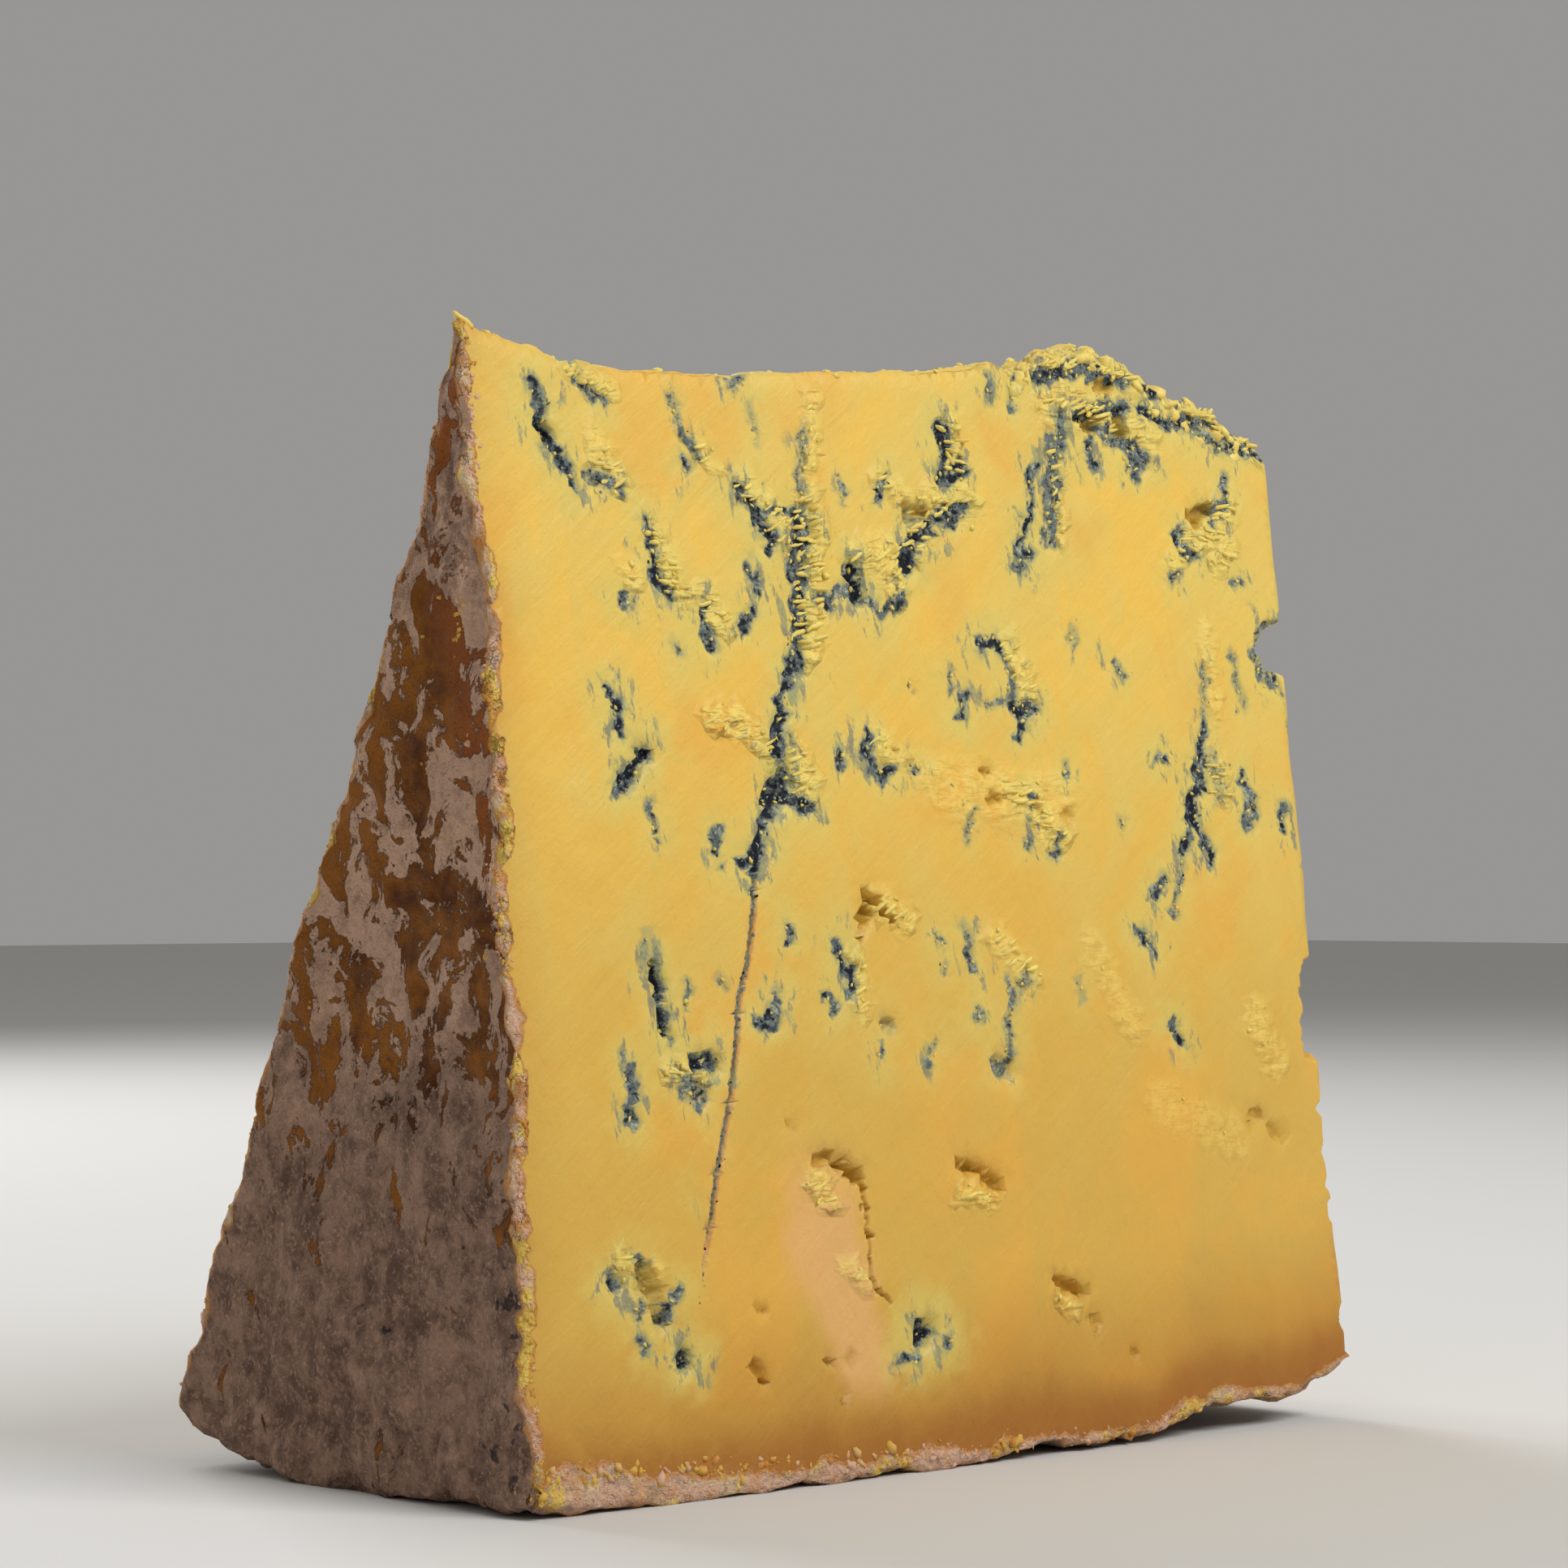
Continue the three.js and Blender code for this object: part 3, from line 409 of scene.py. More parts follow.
def runs_near(points, runs, reach):
    """Each run with the points that lie within reach of its box, and their distances to it."""
    for row in runs:
        corners = np.array(row[-1], float)
        margin = row[0] + reach
        inside = np.all((points > corners.min(0) - margin) & (points < corners.max(0) + margin), axis=1)
        index = np.nonzero(inside)[0]
        if len(index):
            yield row, index, distance_to_run(points[index], row[-1])


def crust_height(x):
    """Usual height of the crust above the underside."""
    return np.interp(x, *np.array(CRUST_HEIGHT, float).T)


def bowl(gap, width):
    """Depth from 0 to 1 of a round-bottomed hollow of a half width, at a gap from its middle."""
    return np.sqrt(np.clip(1 - (gap / width) ** 2, 0, 1))


class Cut:
    """What the veins do to a cut surface at n points of its plane."""

    def __init__(self, across, up, veins, seed):
        flat = on_plane(across, up)
        wander = np.stack((noise(flat, 1.7, seed), noise(flat, 1.7, seed + 1)), axis=1) * 0.55
        wander += np.stack((noise(flat, 0.6, seed + 2), noise(flat, 0.6, seed + 3)), axis=1) * 0.3
        plane = flat[:, :2] + wander
        swell = 1 + 0.35 * noise(flat, 1.1, seed + 4)
        self.mould, self.stain, self.depth, self.hollow, self.curd, self.groove = np.zeros((6, len(flat)))
        for (width, strength, deep, _), at, gap in runs_near(plane, veins["mould"], 4.5):
            wide = width * swell[at]
            self.raise_to("mould", at, strength * (1 - step(wide * 0.55, wide * 0.55 + 0.55, gap)))
            self.raise_to("stain", at, 0.85 * strength * (1 - step(wide, wide + 4.2, gap)))
            self.raise_to("depth", at, (0.45 + 0.35 * (deep > 1)) * deep * bowl(gap, wide * 1.05))
        for (width, strength, deep, _), at, gap in runs_near(plane, veins["tears"], 1.0):
            sunk = bowl(gap, width * swell[at])
            # The pocket's colour follows its depth: partly painted shade inside it.
            self.raise_to("hollow", at, strength * sunk)
            self.raise_to("depth", at, deep * sunk)
        for kind, field, core in (("crumbled", "curd", 0.45), ("stains", "stain", 0.2)):
            for (width, amount, _), at, gap in runs_near(plane, veins[kind], 0.5):
                self.raise_to(field, at, amount * (1 - step(width * core, width, gap)))
        for (width, strength, deep, run), at, gap in runs_near(flat[:, :2], veins["grooves"], 1.0):
            whole = step(0, 8, flat[at, 1] - run[-1][1]) if run[-1][1] < run[0][1] else 1.0
            faint = 0.55 + 0.35 * noise(flat[at], 2.5, seed + 5)
            self.raise_to("mould", at, whole * strength * faint * (1 - step(width * 0.5, width * 1.3, gap)))
            self.raise_to("groove", at, whole * (1 - step(0, 0.8, gap)))
            self.raise_to("depth", at, whole * deep * bowl(gap, width))

    def raise_to(self, name, at, value):
        field = getattr(self, name)
        field[at] = np.maximum(field[at], value)


def scattered_veins(seed, across, up, count, lean):
    """Veins of a cut that nobody measured, of the same kinds and spread as the front cut's."""
    draw = np.random.default_rng(seed)
    mould, tears, crumbled, stains, grooves = [], [], [], [], []
    middle = (across[0] + across[1]) / 2
    for share in (0.27, 0.74):
        x = across[0] + share * (across[1] - across[0])
        foot, head = up[0] + draw.uniform(4, 26), up[1] - draw.uniform(6, 16)
        slope = lean * (1 + draw.uniform(-0.3, 0.3))
        neck = foot + (head - foot) * draw.uniform(0.35, 0.6)
        half = (neck + head) / 2
        heights = (foot, neck, half, head, half + 1)
        low, mid, above, high, crumbs = ((x + slope * (z - foot), z) for z in heights)
        grooves.append((0.3, 0.9, 0.7, [low, mid]))
        mould.append((0.55, 1.0, 0.8, [mid, above]))
        mould.append((1.2, 0.8, 0.9, [above, high]))
        crumbled.append((1.8, 0.9, [crumbs, high]))
    tall = up[1] - up[0]
    centres = [(draw.uniform(*across), up[0] + tall * draw.uniform() ** 0.6) for _ in range(count // 5)]
    for n in range(count):
        x, z = np.clip(draw.normal(centres[n % len(centres)], (2.6, 4.0)), *np.transpose((across, up)))
        width = draw.uniform(0.35, 0.8) * (1 if n % 4 else 1.5)
        turns = [(x, z)]
        heading = math.radians(draw.uniform(60, 120)) - 0.6 * lean
        for _ in range(draw.integers(1, 4)):
            length = draw.uniform(0.8, 2.8)
            heading += draw.uniform(-0.9, 0.9)
            x, z = turns[-1]
            turns.append((x + length * math.cos(heading), z + length * math.sin(heading)))
        if n % 6 == 0:
            tears.append((width, 1.0, draw.uniform(0.7, 1.8), turns[:2]))
        else:
            mould.append((width, draw.uniform(0.45, 1.0), width * draw.uniform(0.6, 1.3), turns))
            stains.append((width + draw.uniform(1.5, 3.0), draw.uniform(0.2, 0.4), turns))
        if n % 3 == 0:
            shift = 0.9 if turns[0][0] > middle else -0.9
            shifted = [(a + shift, b) for a, b in turns]
            crumbled.append((width + 1.0, draw.uniform(0.5, 1.0), shifted))
    return {"mould": mould, "tears": tears, "crumbled": crumbled, "stains": stains, "grooves": grooves}


FRONT_VEINS = {"mould": MOULD, "tears": TEARS, "crumbled": CRUMBLED, "stains": STAINS, "grooves": [GROOVE]}
BACK_VEINS = scattered_veins(seed=31, across=(6, 100), up=(10, 99), count=130, lean=-0.24)
END_VEINS = scattered_veins(seed=57, across=(6, 34), up=(8, 92), count=34, lean=0.12)


# How near to 0 or 1 a point's share of the wedge is when the point lies on a surface.
ON_SURFACE = 1e-5


class Wedge:
    """The wedge's surfaces in millimetres, and the places of points given by their shares of it."""

    def __init__(self, sizes):
        self.length = sizes.length / MM
        self.back_foot = sizes.back_foot / MM
        self.bump = sizes.rind_bump / MM
        self.front_lean, self.back_lean = sizes.front_lean, sizes.back_lean
        self.back_skew, self.end_lean = sizes.back_skew, sizes.end_lean
        self.inward = {
            "rind": (1, 0, 0), "end": (-1, 0, -self.end_lean), "front": (0, 1, -self.front_lean),
            "back": (-self.back_skew, -1, -self.back_lean), "under": (0, 0, 1), "top": (0, 0, -1),
        }
        self.inward = {name: np.array(way) / np.linalg.norm(way) for name, way in self.inward.items()}

    def front(self, z):
        return self.front_lean * z

    def back(self, x, z):
        """The back cut, drawn in a little high up near the rind end."""
        hollow = 1.8 * np.sin(np.pi * np.clip((z - 44) / 64, 0, 1)) * (1 - step(20, 70, x))
        return self.back_foot + self.back_skew * x - self.back_lean * z - hollow

    def span(self, x, z):
        """Where the front cut and the back cut are at a place of the length and a height."""
        return float(self.front(z)), float(self.back(x, z))

    def end(self, z):
        return self.length - self.end_lean * z

    def ridge(self, x):
        xs, zs = np.array(RIDGE, float).T
        return sum(np.interp(x + shift, xs, zs) for shift in (-1.6, -0.8, 0, 0.8, 1.6)) / 5

    def top(self, x, y):
        """The ridge, rough and sloping down to the front where it has crumbled."""
        height = self.ridge(x)
        slope = 0.3 * step(60, 78, x) * (1 - step(92, 98, x))
        behind = np.maximum(self.back(x, height) - y, 0)
        crags = 0.25 + 0.75 * step(58, 74, x) + 0.4 * (1 - step(8, 20, x))
        spot = on_plane(x, y)
        rough = 0.6 * noise(spot, 1.7, 4) + 0.5 * noise(spot, 3.5, 9) + 0.3 * noise(spot, 0.8, 14)
        return height - slope * behind + crags * rough

    def underside(self, x, y):
        """The rind below, flat where it stands and lifting off the board to the cut end and the back."""
        lift_end = 4.65 * step(70, 112, x) ** 1.1
        lift_back = 5.2 * (np.maximum(y - 33, 0) / 20) ** 2
        lift_front = 0.4 * (1 - step(0, 4.5, y))
        standing = step(3, 9, x) * (1 - step(62, 72, x)) * step(3, 8, y) * (1 - step(30, 36, y))
        spot = on_plane(x, y)
        lumps = self.bump * (noise(spot, 9, 3) + 0.6 * noise(spot, 4.2, 8)) + 0.2
        return np.maximum(0, lift_end + lift_back + lift_front + lumps * (1 - standing) - 0.1)

    def rind(self, y, z):
        """The rind end, drawn in a little at mid height, with its lumps."""
        spot = on_plane(y, z)
        return 0.7 * np.sin((z - 8) / 28) + 0.35 + self.bump * (noise(spot, 8, 2) + 0.7 * noise(spot, 3.8, 5))

    def place(self, share, turns=3):
        """Points for shares of the length, the depth and the height, settled over some turns."""
        u, v, w = share.T
        x = u * self.length
        z = w * self.ridge(x)
        for _ in range(turns):
            deep = np.maximum(self.back(x, z) - self.front(z), 0.8)
            y = self.front(z) + v * deep
            low = self.rind(y, z)
            x = low + u * (self.end(z) - low)
            floor = self.underside(x, y)
            z = floor + w * (self.top(x, y) - floor)
        return np.stack((x, y, z), axis=1)

    def gaps(self, p):
        """Distance of points to each surface, inwards."""
        x, y, z = p.T
        return {
            "rind": x - self.rind(y, z), "end": self.end(z) - x, "front": y - self.front(z),
            "back": self.back(x, z) - y, "under": z - self.underside(x, y), "top": self.top(x, y) - z,
        }

    def round_edges(self, p, on):
        """Points with the edges between the surfaces rounded by an uneven radius."""
        gaps = {name: np.maximum(gap, 0) * ~on[name] for name, gap in self.gaps(p).items()}
        moved = p.copy()
        uneven = 1 + 0.3 * noise(p, 5, 21)
        for a, b, radius in EDGE_ROUNDS:
            r = radius * uneven
            gap = gaps[a] + gaps[b]
            near = (on[a] | on[b]) & (gap < r)
            angle = np.pi / 4 * (1 - gap / r)
            sink, slide = r * (1 - np.cos(angle)), r * (1 - np.sin(angle)) - gap
            along_a = np.where(on[a], sink, slide)
            along_b = np.where(on[a] & ~on[b], slide, sink)
            moved += (near * along_a)[:, None] * self.inward[a] + (near * along_b)[:, None] * self.inward[b]
        return moved


def surfaces_at(share):
    """Which of the six surfaces each point lies on."""
    low, high = (share < ON_SURFACE).T, (share > 1 - ON_SURFACE).T
    return dict(zip(("rind", "front", "under", "end", "back", "top"), (*low, *high)))


def rind_relief(p):
    """Lumps, wrinkles and pits of the rind, outwards."""
    lumps = 0.3 * noise(p, 2.2, 61) + 0.18 * noise(p, 1.1, 62)
    pits = 0.3 * step(0.55, 0.95, noise(p, 1.6, 63))
    return lumps - pits


def curd_relief(p):
    """Height of crumbled curd, outwards: ledges that lean up to the right, broken by lumps."""
    lean = p[:, 2] - 0.35 * p[:, 0] + 0.9 * noise(p, 1.8, 71)
    phase = (lean / 1.05) % 1
    ledges = 0.34 * phase**2 * (0.6 + 0.4 * noise(p, 1.4, 72))
    return ledges + 0.26 * noise(p, 0.9, 73) + 0.14 * noise(p, 0.5, 74) - 0.1


CUT_FIELDS = ("mould", "stain", "hollow", "curd", "groove")
SKIN_FIELDS = (*CUT_FIELDS, "crust", "rind", "rindward_and_shade")


class Skin:
    """The fields of the whole surface at n points, and how far they push it outwards."""

    def __init__(self, wedge, p, on):
        x, y, z = p.T
        gaps = wedge.gaps(p)
        self.fields = {name: np.zeros(len(p)) for name in SKIN_FIELDS}
        self.push = np.zeros_like(p)
        for name, across, up, veins, seed in (
            ("front", x, z, FRONT_VEINS, 100), ("top", x, z, FRONT_VEINS, 100),
            ("back", x, z, BACK_VEINS, 200), ("end", y, z, END_VEINS, 300),
        ):
            here = np.nonzero(on[name])[0]
            cut = Cut(across[here], up[here], veins, seed)
            spot = p[here]
            out = 0.16 * noise(spot, 13, 81) + 0.06 * noise(spot, 4, 82) - cut.depth
            out += cut.curd * curd_relief(spot) * (1 - 0.6 * step(0.5, 1.0, cut.mould))
            out += step(0.2, 0.6, cut.mould) * 0.16 * noise(spot, 0.6, 83)
            self.push[here] -= out[:, None] * wedge.inward[name]
            for field in CUT_FIELDS:
                self.fields[field][here] = np.maximum(self.fields[field][here], getattr(cut, field))
        for name in ("rind", "under"):
            here = np.nonzero(on[name])[0]
            out = rind_relief(p[here])
            if name == "under":
                out = np.minimum(out, p[here, 2])
            self.push[here] -= out[:, None] * wedge.inward[name]
            self.fields["rind"][here] = 1
        self.add_crust(wedge, p, gaps, on)
        # Painted shade and bounce light near the board, with browner paste by the rind: strongest within 18
        # mm of the underside, weaker by the rind end.
        deep = np.clip(1 - gaps["under"] / 18, 0, 1) ** 1.3
        self.fields["rindward_and_shade"] = np.maximum(deep, 0.3 * np.clip(1 - gaps["rind"] / 7, 0, 1) ** 1.5)

    def add_crust(self, wedge, p, gaps, on):
        """The broken edge of the rind, where it shows round the cuts."""
        tall = crust_height(p[:, 0]) * (1 + 0.35 * noise(p, 2.5, 91))
        wide = 1.1 * (1 + 0.6 * noise(p, 2.0, 92)) + 0.35 * noise(p, 0.8, 96)
        cut = on["front"] | on["back"] | on["end"] | on["top"]
        from_under = 1 - step(tall * 0.8, tall + 0.25, gaps["under"])
        crust = np.maximum(from_under, 1 - step(wide * 0.7, wide + 0.2, gaps["rind"]))
        self.fields["crust"] = crust * cut
        rough = 0.2 * noise(p, 1.3, 93) + 0.22 * noise(p, 0.6, 94) + 0.1
        for name in ("front", "back", "end"):
            here = np.nonzero(on[name])[0]
            self.push[here] -= (crust[here] * rough[here])[:, None] * wedge.inward[name]
        rim = np.minimum(gaps["front"], np.minimum(gaps["back"], gaps["end"]))
        worn = (1 - step(0.2, 1.0, rim + 0.7 * noise(p, 1.5, 95))) * ~cut
        self.fields["crust"] = np.maximum(self.fields["crust"], worn * (on["rind"] | on["under"]))


def bite_out(wedge, p):
    """Points pushed back out of the bites at the cut end's front edge."""
    for height, half_height, reach, depth in BITES:
        centre = np.array([wedge.end(height) + 0.5, wedge.front(height) - 0.4, height])
        half = np.array([reach + 0.5, depth + 0.4, half_height])
        offset = (p - centre) / half
        far = np.linalg.norm(offset, axis=1)
        rough = 1 + 0.16 * noise(p, 1.3, 101) + 0.08 * noise(p, 0.6, 102)
        inside = far < rough
        way = offset + np.array([-0.05, 0.05, 0])
        way /= np.linalg.norm(way, axis=1)[:, None]
        p = np.where(inside[:, None], centre + way * rough[:, None] * half, p)
    return p


def wanted_edge(wedge, p, on, sizes):
    """The length that a mesh edge should have at each point."""
    fine, plain, rind = (size / MM for size in (sizes.fine_edge, sizes.plain_edge, sizes.rind_edge))
    gaps = wedge.gaps(p)
    skin = Skin(wedge, p, on).fields
    busy = np.maximum.reduce([
        step(0.02, 0.3, skin["mould"]), step(0.0, 0.3, skin["hollow"]), 0.85 * step(0.05, 0.5, skin["curd"]),
        0.6 * step(0.05, 0.6, skin["crust"]),
    ])
    bites = np.zeros(len(p))
    for height, half_height, reach, _ in BITES:
        off = np.abs(p[:, 2] - height) / (half_height + 1)
        off = np.maximum(off, (wedge.end(height) - p[:, 0]) / (reach + 1.2))
        bites = np.maximum(bites, 1 - step(0.9, 1.2, np.maximum(off, gaps["front"] / 8)))
    busy = np.maximum(busy, bites)
    length = plain + (fine - plain) * busy
    length = np.where(skin["hollow"] > 0.02, fine * 0.75, length)
    flat = np.stack((p[:, 0], p[:, 2]), axis=1)
    thin = (distance_to_run(flat, GROOVE[-1]) < 0.6) | (distance_to_run(flat, CRACK) < 1.1)
    length = np.where(on["front"] & thin, fine * 0.6, length)
    hidden = on["back"] | on["end"]
    length = np.where(hidden & ~on["front"], length * 1.25, length)
    length = np.where(on["rind"], rind, length)
    length = np.where(on["under"], rind * 1.9, length)
    return np.where(on["top"], np.minimum(length, fine * 1.3), length)


def refine(bm, wedge, sizes, rounds):
    """Splits the edges of a bmesh of shares that are too long for their place."""
    # An edge may be this many times as long as wanted.
    slack = 1.4
    settled = bm.edges.layers.int.new("settled")
    for _ in range(rounds):
        fresh = [edge for edge in bm.edges if not edge[settled]]
        ends = np.array([(*edge.verts[0].co, *edge.verts[1].co) for edge in fresh]).reshape(-1, 2, 3)
        first, second = wedge.place(ends[:, 0], turns=2), wedge.place(ends[:, 1], turns=2)
        want = wanted_edge(wedge, (first + second) / 2, surfaces_at(ends.mean(axis=1)), sizes)
        too_long = np.linalg.norm(first - second, axis=1) > slack * want
        for edge, split in zip(fresh, too_long):
            edge[settled] = not split
        split_edges = [edge for edge, split in zip(fresh, too_long) if split]
        bmesh.ops.subdivide_edges(bm, edges=split_edges, cuts=1)
        bmesh.ops.triangulate(bm, faces=[face for face in bm.faces if len(face.verts) > 3])


def relax(bm, turns):
    """Evens out the triangles within each face of the cube of shares."""
    inner = [v for v in bm.verts if sum(c < ON_SURFACE or c > 1 - ON_SURFACE for c in v.co) == 1]
    for _ in range(turns):
        bmesh.ops.smooth_vert(bm, verts=inner, factor=0.5, use_axis_x=True, use_axis_y=True, use_axis_z=True)


def mesh_from(name, bm):
    """A bmesh as a mesh, the bmesh freed."""
    mesh = bpy.data.meshes.new(name)
    bm.to_mesh(mesh)
    bm.free()
    return mesh


def new_object(name, data):
    """A new object in the scene."""
    thing = bpy.data.objects.new(name, data)
    bpy.context.scene.collection.objects.link(thing)
    return thing


def add_piece(name, bm, material, replaced=False):
    """A bmesh in row millimetres as a piece in metres on the wedge's body, with its material in a slot."""
    bmesh.ops.scale(bm, vec=(MM, MM, MM), verts=bm.verts)
    mesh = mesh_from(name, bm)
    mesh.polygons.foreach_set("use_smooth", np.full(len(mesh.polygons), True))
    mesh.materials.append(material)
    piece = new_object(name, mesh)
    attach(piece, BODY)
    if replaced:
        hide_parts(NODE)
    return piece


class Wire:
    """An output of a shader node. Arithmetic on it adds the Math nodes that work it out."""

    def __init__(self, paint, end):
        self.paint, self.end = paint, end

    def __add__(self, other):
        return self.paint.maths("ADD", self, other)

    def __sub__(self, other):
        return self.paint.maths("SUBTRACT", self, other)

    def __mul__(self, other):
        return self.paint.maths("MULTIPLY", self, other)

    __radd__ = __add__
    __rmul__ = __mul__


class Paint:
    """A material whose nodes are added one by one."""

    def __init__(self, name):
        self.material = bpy.data.materials.new(name)
        self.material.use_nodes = True
        self.tree = self.material.node_tree
        self.tree.nodes.clear()
        self.place = self.node("ShaderNodeTexCoord", out="Object")
        inputs = {0: self.place, "Scale": 1 / MM}
        self.spot = self.node("ShaderNodeVectorMath", {"operation": "SCALE"}, inputs)

    def node(self, kind, settings=None, inputs=None, out=0):
        """A node of a type with its settings and then its values or links, as a wire from one output."""
        node = self.tree.nodes.new(kind)
        for name, value in (settings or {}).items():
            setattr(node, name, value)
        for name, value in (inputs or {}).items():
            if isinstance(value, Wire):
                self.tree.links.new(value.end, node.inputs[name])
            else:
                node.inputs[name].default_value = value
        return Wire(self, node.outputs[out])

    def maths(self, operation, *values):
        return self.node("ShaderNodeMath", {"operation": operation}, dict(enumerate(values)))

    def attribute(self, name):
        return self.node("ShaderNodeAttribute", {"attribute_name": name}, out="Fac")

    def noise(self, lump, detail=2, roughness=0.5, warp=0, spot=None):
        """Noise from 0 to 1 about 0.5 whose lumps are a number of millimetres across."""
        values = {
            "Vector": spot or self.spot, "Scale": 1 / lump, "Detail": detail, "Roughness": roughness,
            "Distortion": warp,
        }
        return self.node("ShaderNodeTexNoise", {"noise_dimensions": "3D"}, values)

    def stretched(self, x, y, z, turn=0.0):
        """The place in millimetres, turned about y and then shrunk along each axis by a factor."""
        turned = self.node("ShaderNodeMapping", inputs={"Vector": self.spot, "Rotation": (0, turn, 0)})
        return self.node("ShaderNodeVectorMath", {"operation": "MULTIPLY"}, {0: turned, 1: (x, y, z)})

    def axis(self, name):
        return self.node("ShaderNodeSeparateXYZ", inputs={0: self.spot}, out=name)

    def rise(self, value, low, high):
        """A smooth rise from 0 at low to 1 at high."""
        values = {"Value": value, "From Min": low, "From Max": high}
        return self.node("ShaderNodeMapRange", {"interpolation_type": "SMOOTHSTEP"}, values)

    def blend(self, share, first, second):
        """The first colour, and the second where the share is 1."""
        colours = {0: share, 6: self.rgba(first), 7: self.rgba(second)}
        return self.node("ShaderNodeMix", {"data_type": "RGBA"}, colours, out=2)

    def over(self, base, colour, value, low, high, amount=None):
        """A base with a colour laid over it by an amount where a value rises from low to high."""
        share = self.rise(value, low, high)
        return self.blend(share if amount is None else share * amount, base, colour)

    def rgba(self, colour):
        return colour if isinstance(colour, Wire) else (*colour, 1)

    def bump(self, height):
        """A normal tilted by a height in millimetres."""
        return self.node("ShaderNodeBump", inputs={"Height": height, "Distance": MM})

    def shader(self, **sockets):
        """A Principled shader, its sockets named in lower case with underscores."""
        values = {}
        for name, value in sockets.items():
            values[name.replace("_", " ").title().replace("Ior", "IOR")] = value
        return self.node("ShaderNodeBsdfPrincipled", inputs=values)

    def finish(self, shader):
        output = self.tree.nodes.new("ShaderNodeOutputMaterial")
        self.tree.links.new(shader.end, output.inputs["Surface"])
        return self.material


def mould_mask(paint, strength):
    """Where mould covers the paste, sharp-edged and broken, from its soft strength."""
    ragged = paint.noise(1.5, 3, 0.65) - 0.5 + (paint.noise(0.5, 2, 0.6) - 0.5) * 0.7
    return paint.rise(strength + ragged * paint.rise(strength, 0.05, 0.3), 0.34, 0.68)


def mould_colour(paint, colours, strength):
    """Navy in the cores, blue-grey round them, and a pale dusty bloom in spots."""
    core = paint.rise(strength + (paint.noise(1.0, 3, 0.65) - 0.5) * 1.9, 0.6, 0.98)
    bloom = paint.rise(paint.noise(0.8, 3, 0.65), 0.5, 0.66)
    colour = paint.blend(bloom, colours.mould, colours.mould_pale)
    return paint.blend(core, colour, colours.mould_dark)


def rind_skin(paint, colours):
    """Colour of the rind and its height in millimetres: brown under a dusty bloom in worm-like patches."""
    x, y, z = (paint.axis(name) for name in "XYZ")
    cloud = paint.noise(8, 4, 0.6)
    speck = paint.noise(1.3, 4, 0.7)
    fine = paint.noise(0.45, 3, 0.65)
    drips = paint.noise(2.2, 4, 0.65, 0.3, paint.stretched(1, 1, 0.4))
    worms = paint.noise(4.8, 5, 0.62, 0.9, paint.stretched(1, 1, 0.7))
    chestnut = paint.over(colours.rind_brown, colours.rind_ochre, cloud, 0.4, 0.62)
    chestnut = paint.over(chestnut, colours.rind_dark, speck, 0.5, 0.75, 0.6)
    back_edge = paint.rise(y + BACK_LEAN * z + (cloud - 0.5) * 16, 14, 24)
    chestnut = paint.blend(back_edge * 0.8, chestnut, colours.rind_ochre)
    front_edge = paint.rise(y - FRONT_LEAN * z + (cloud - 0.5) * 10, -19, -24) * paint.rise(z, 52, 62)
    chestnut = paint.blend(front_edge * 0.8, chestnut, colours.rind_orange)
    mottle = paint.noise(2.4, 5, 0.75)
    dusty = paint.over(colours.rind_dark, colours.rind, mottle + (cloud - 0.5) * 0.5, 0.32, 0.66)
    dusty = paint.over(dusty, colours.rind_dark, drips, 0.52, 0.76, 0.45)
    dusty = paint.over(dusty, colours.rind_pink, fine + (speck - 0.5) * 0.8, 0.52, 0.72, 0.6)
    spots = paint.rise(y, -17, -23) * paint.rise(z, 34, 20) * 0.1
    dusty = paint.over(dusty, colours.mould_dark, paint.noise(2.1, 3, 0.6) + spots, 0.67, 0.74, 0.8)
    frost = paint.rise(paint.noise(5, 4, 0.7), 0.52, 0.68) * paint.rise(z, 40, 4)
    dusty = paint.blend(frost * 0.4, dusty, colours.rind_pink)
    high = paint.rise(z + (cloud - 0.5) * 30 + (drips - 0.5) * 30, 26, 52)
    bloom = paint.blend(high, dusty, colours.rind_pink)
    bloom = paint.over(bloom, colours.rind_dark, speck, 0.45, 0.7, 0.4)
    low = paint.rise(z + (drips - 0.5) * 60 + (cloud - 0.5) * 30, 46, 14)
    top = paint.rise(z + (cloud - 0.5) * 10, 72, 82)
    bloom = paint.blend(top * paint.rise(mottle, 0.38, 0.62) * 0.75, bloom, colours.rind_dark)
    plain = paint.maths("MAXIMUM", low, paint.rise(x, -47, -40))
    dust = worms + (speck - 0.5) * 0.2 + (fine - 0.5) * 0.1 + plain * 0.2 + top * 0.06
    covered = paint.rise(dust, 0.5, 0.53)
    return paint.blend(covered, chestnut, bloom), covered * 0.45 + speck * 0.8 + fine * 0.35


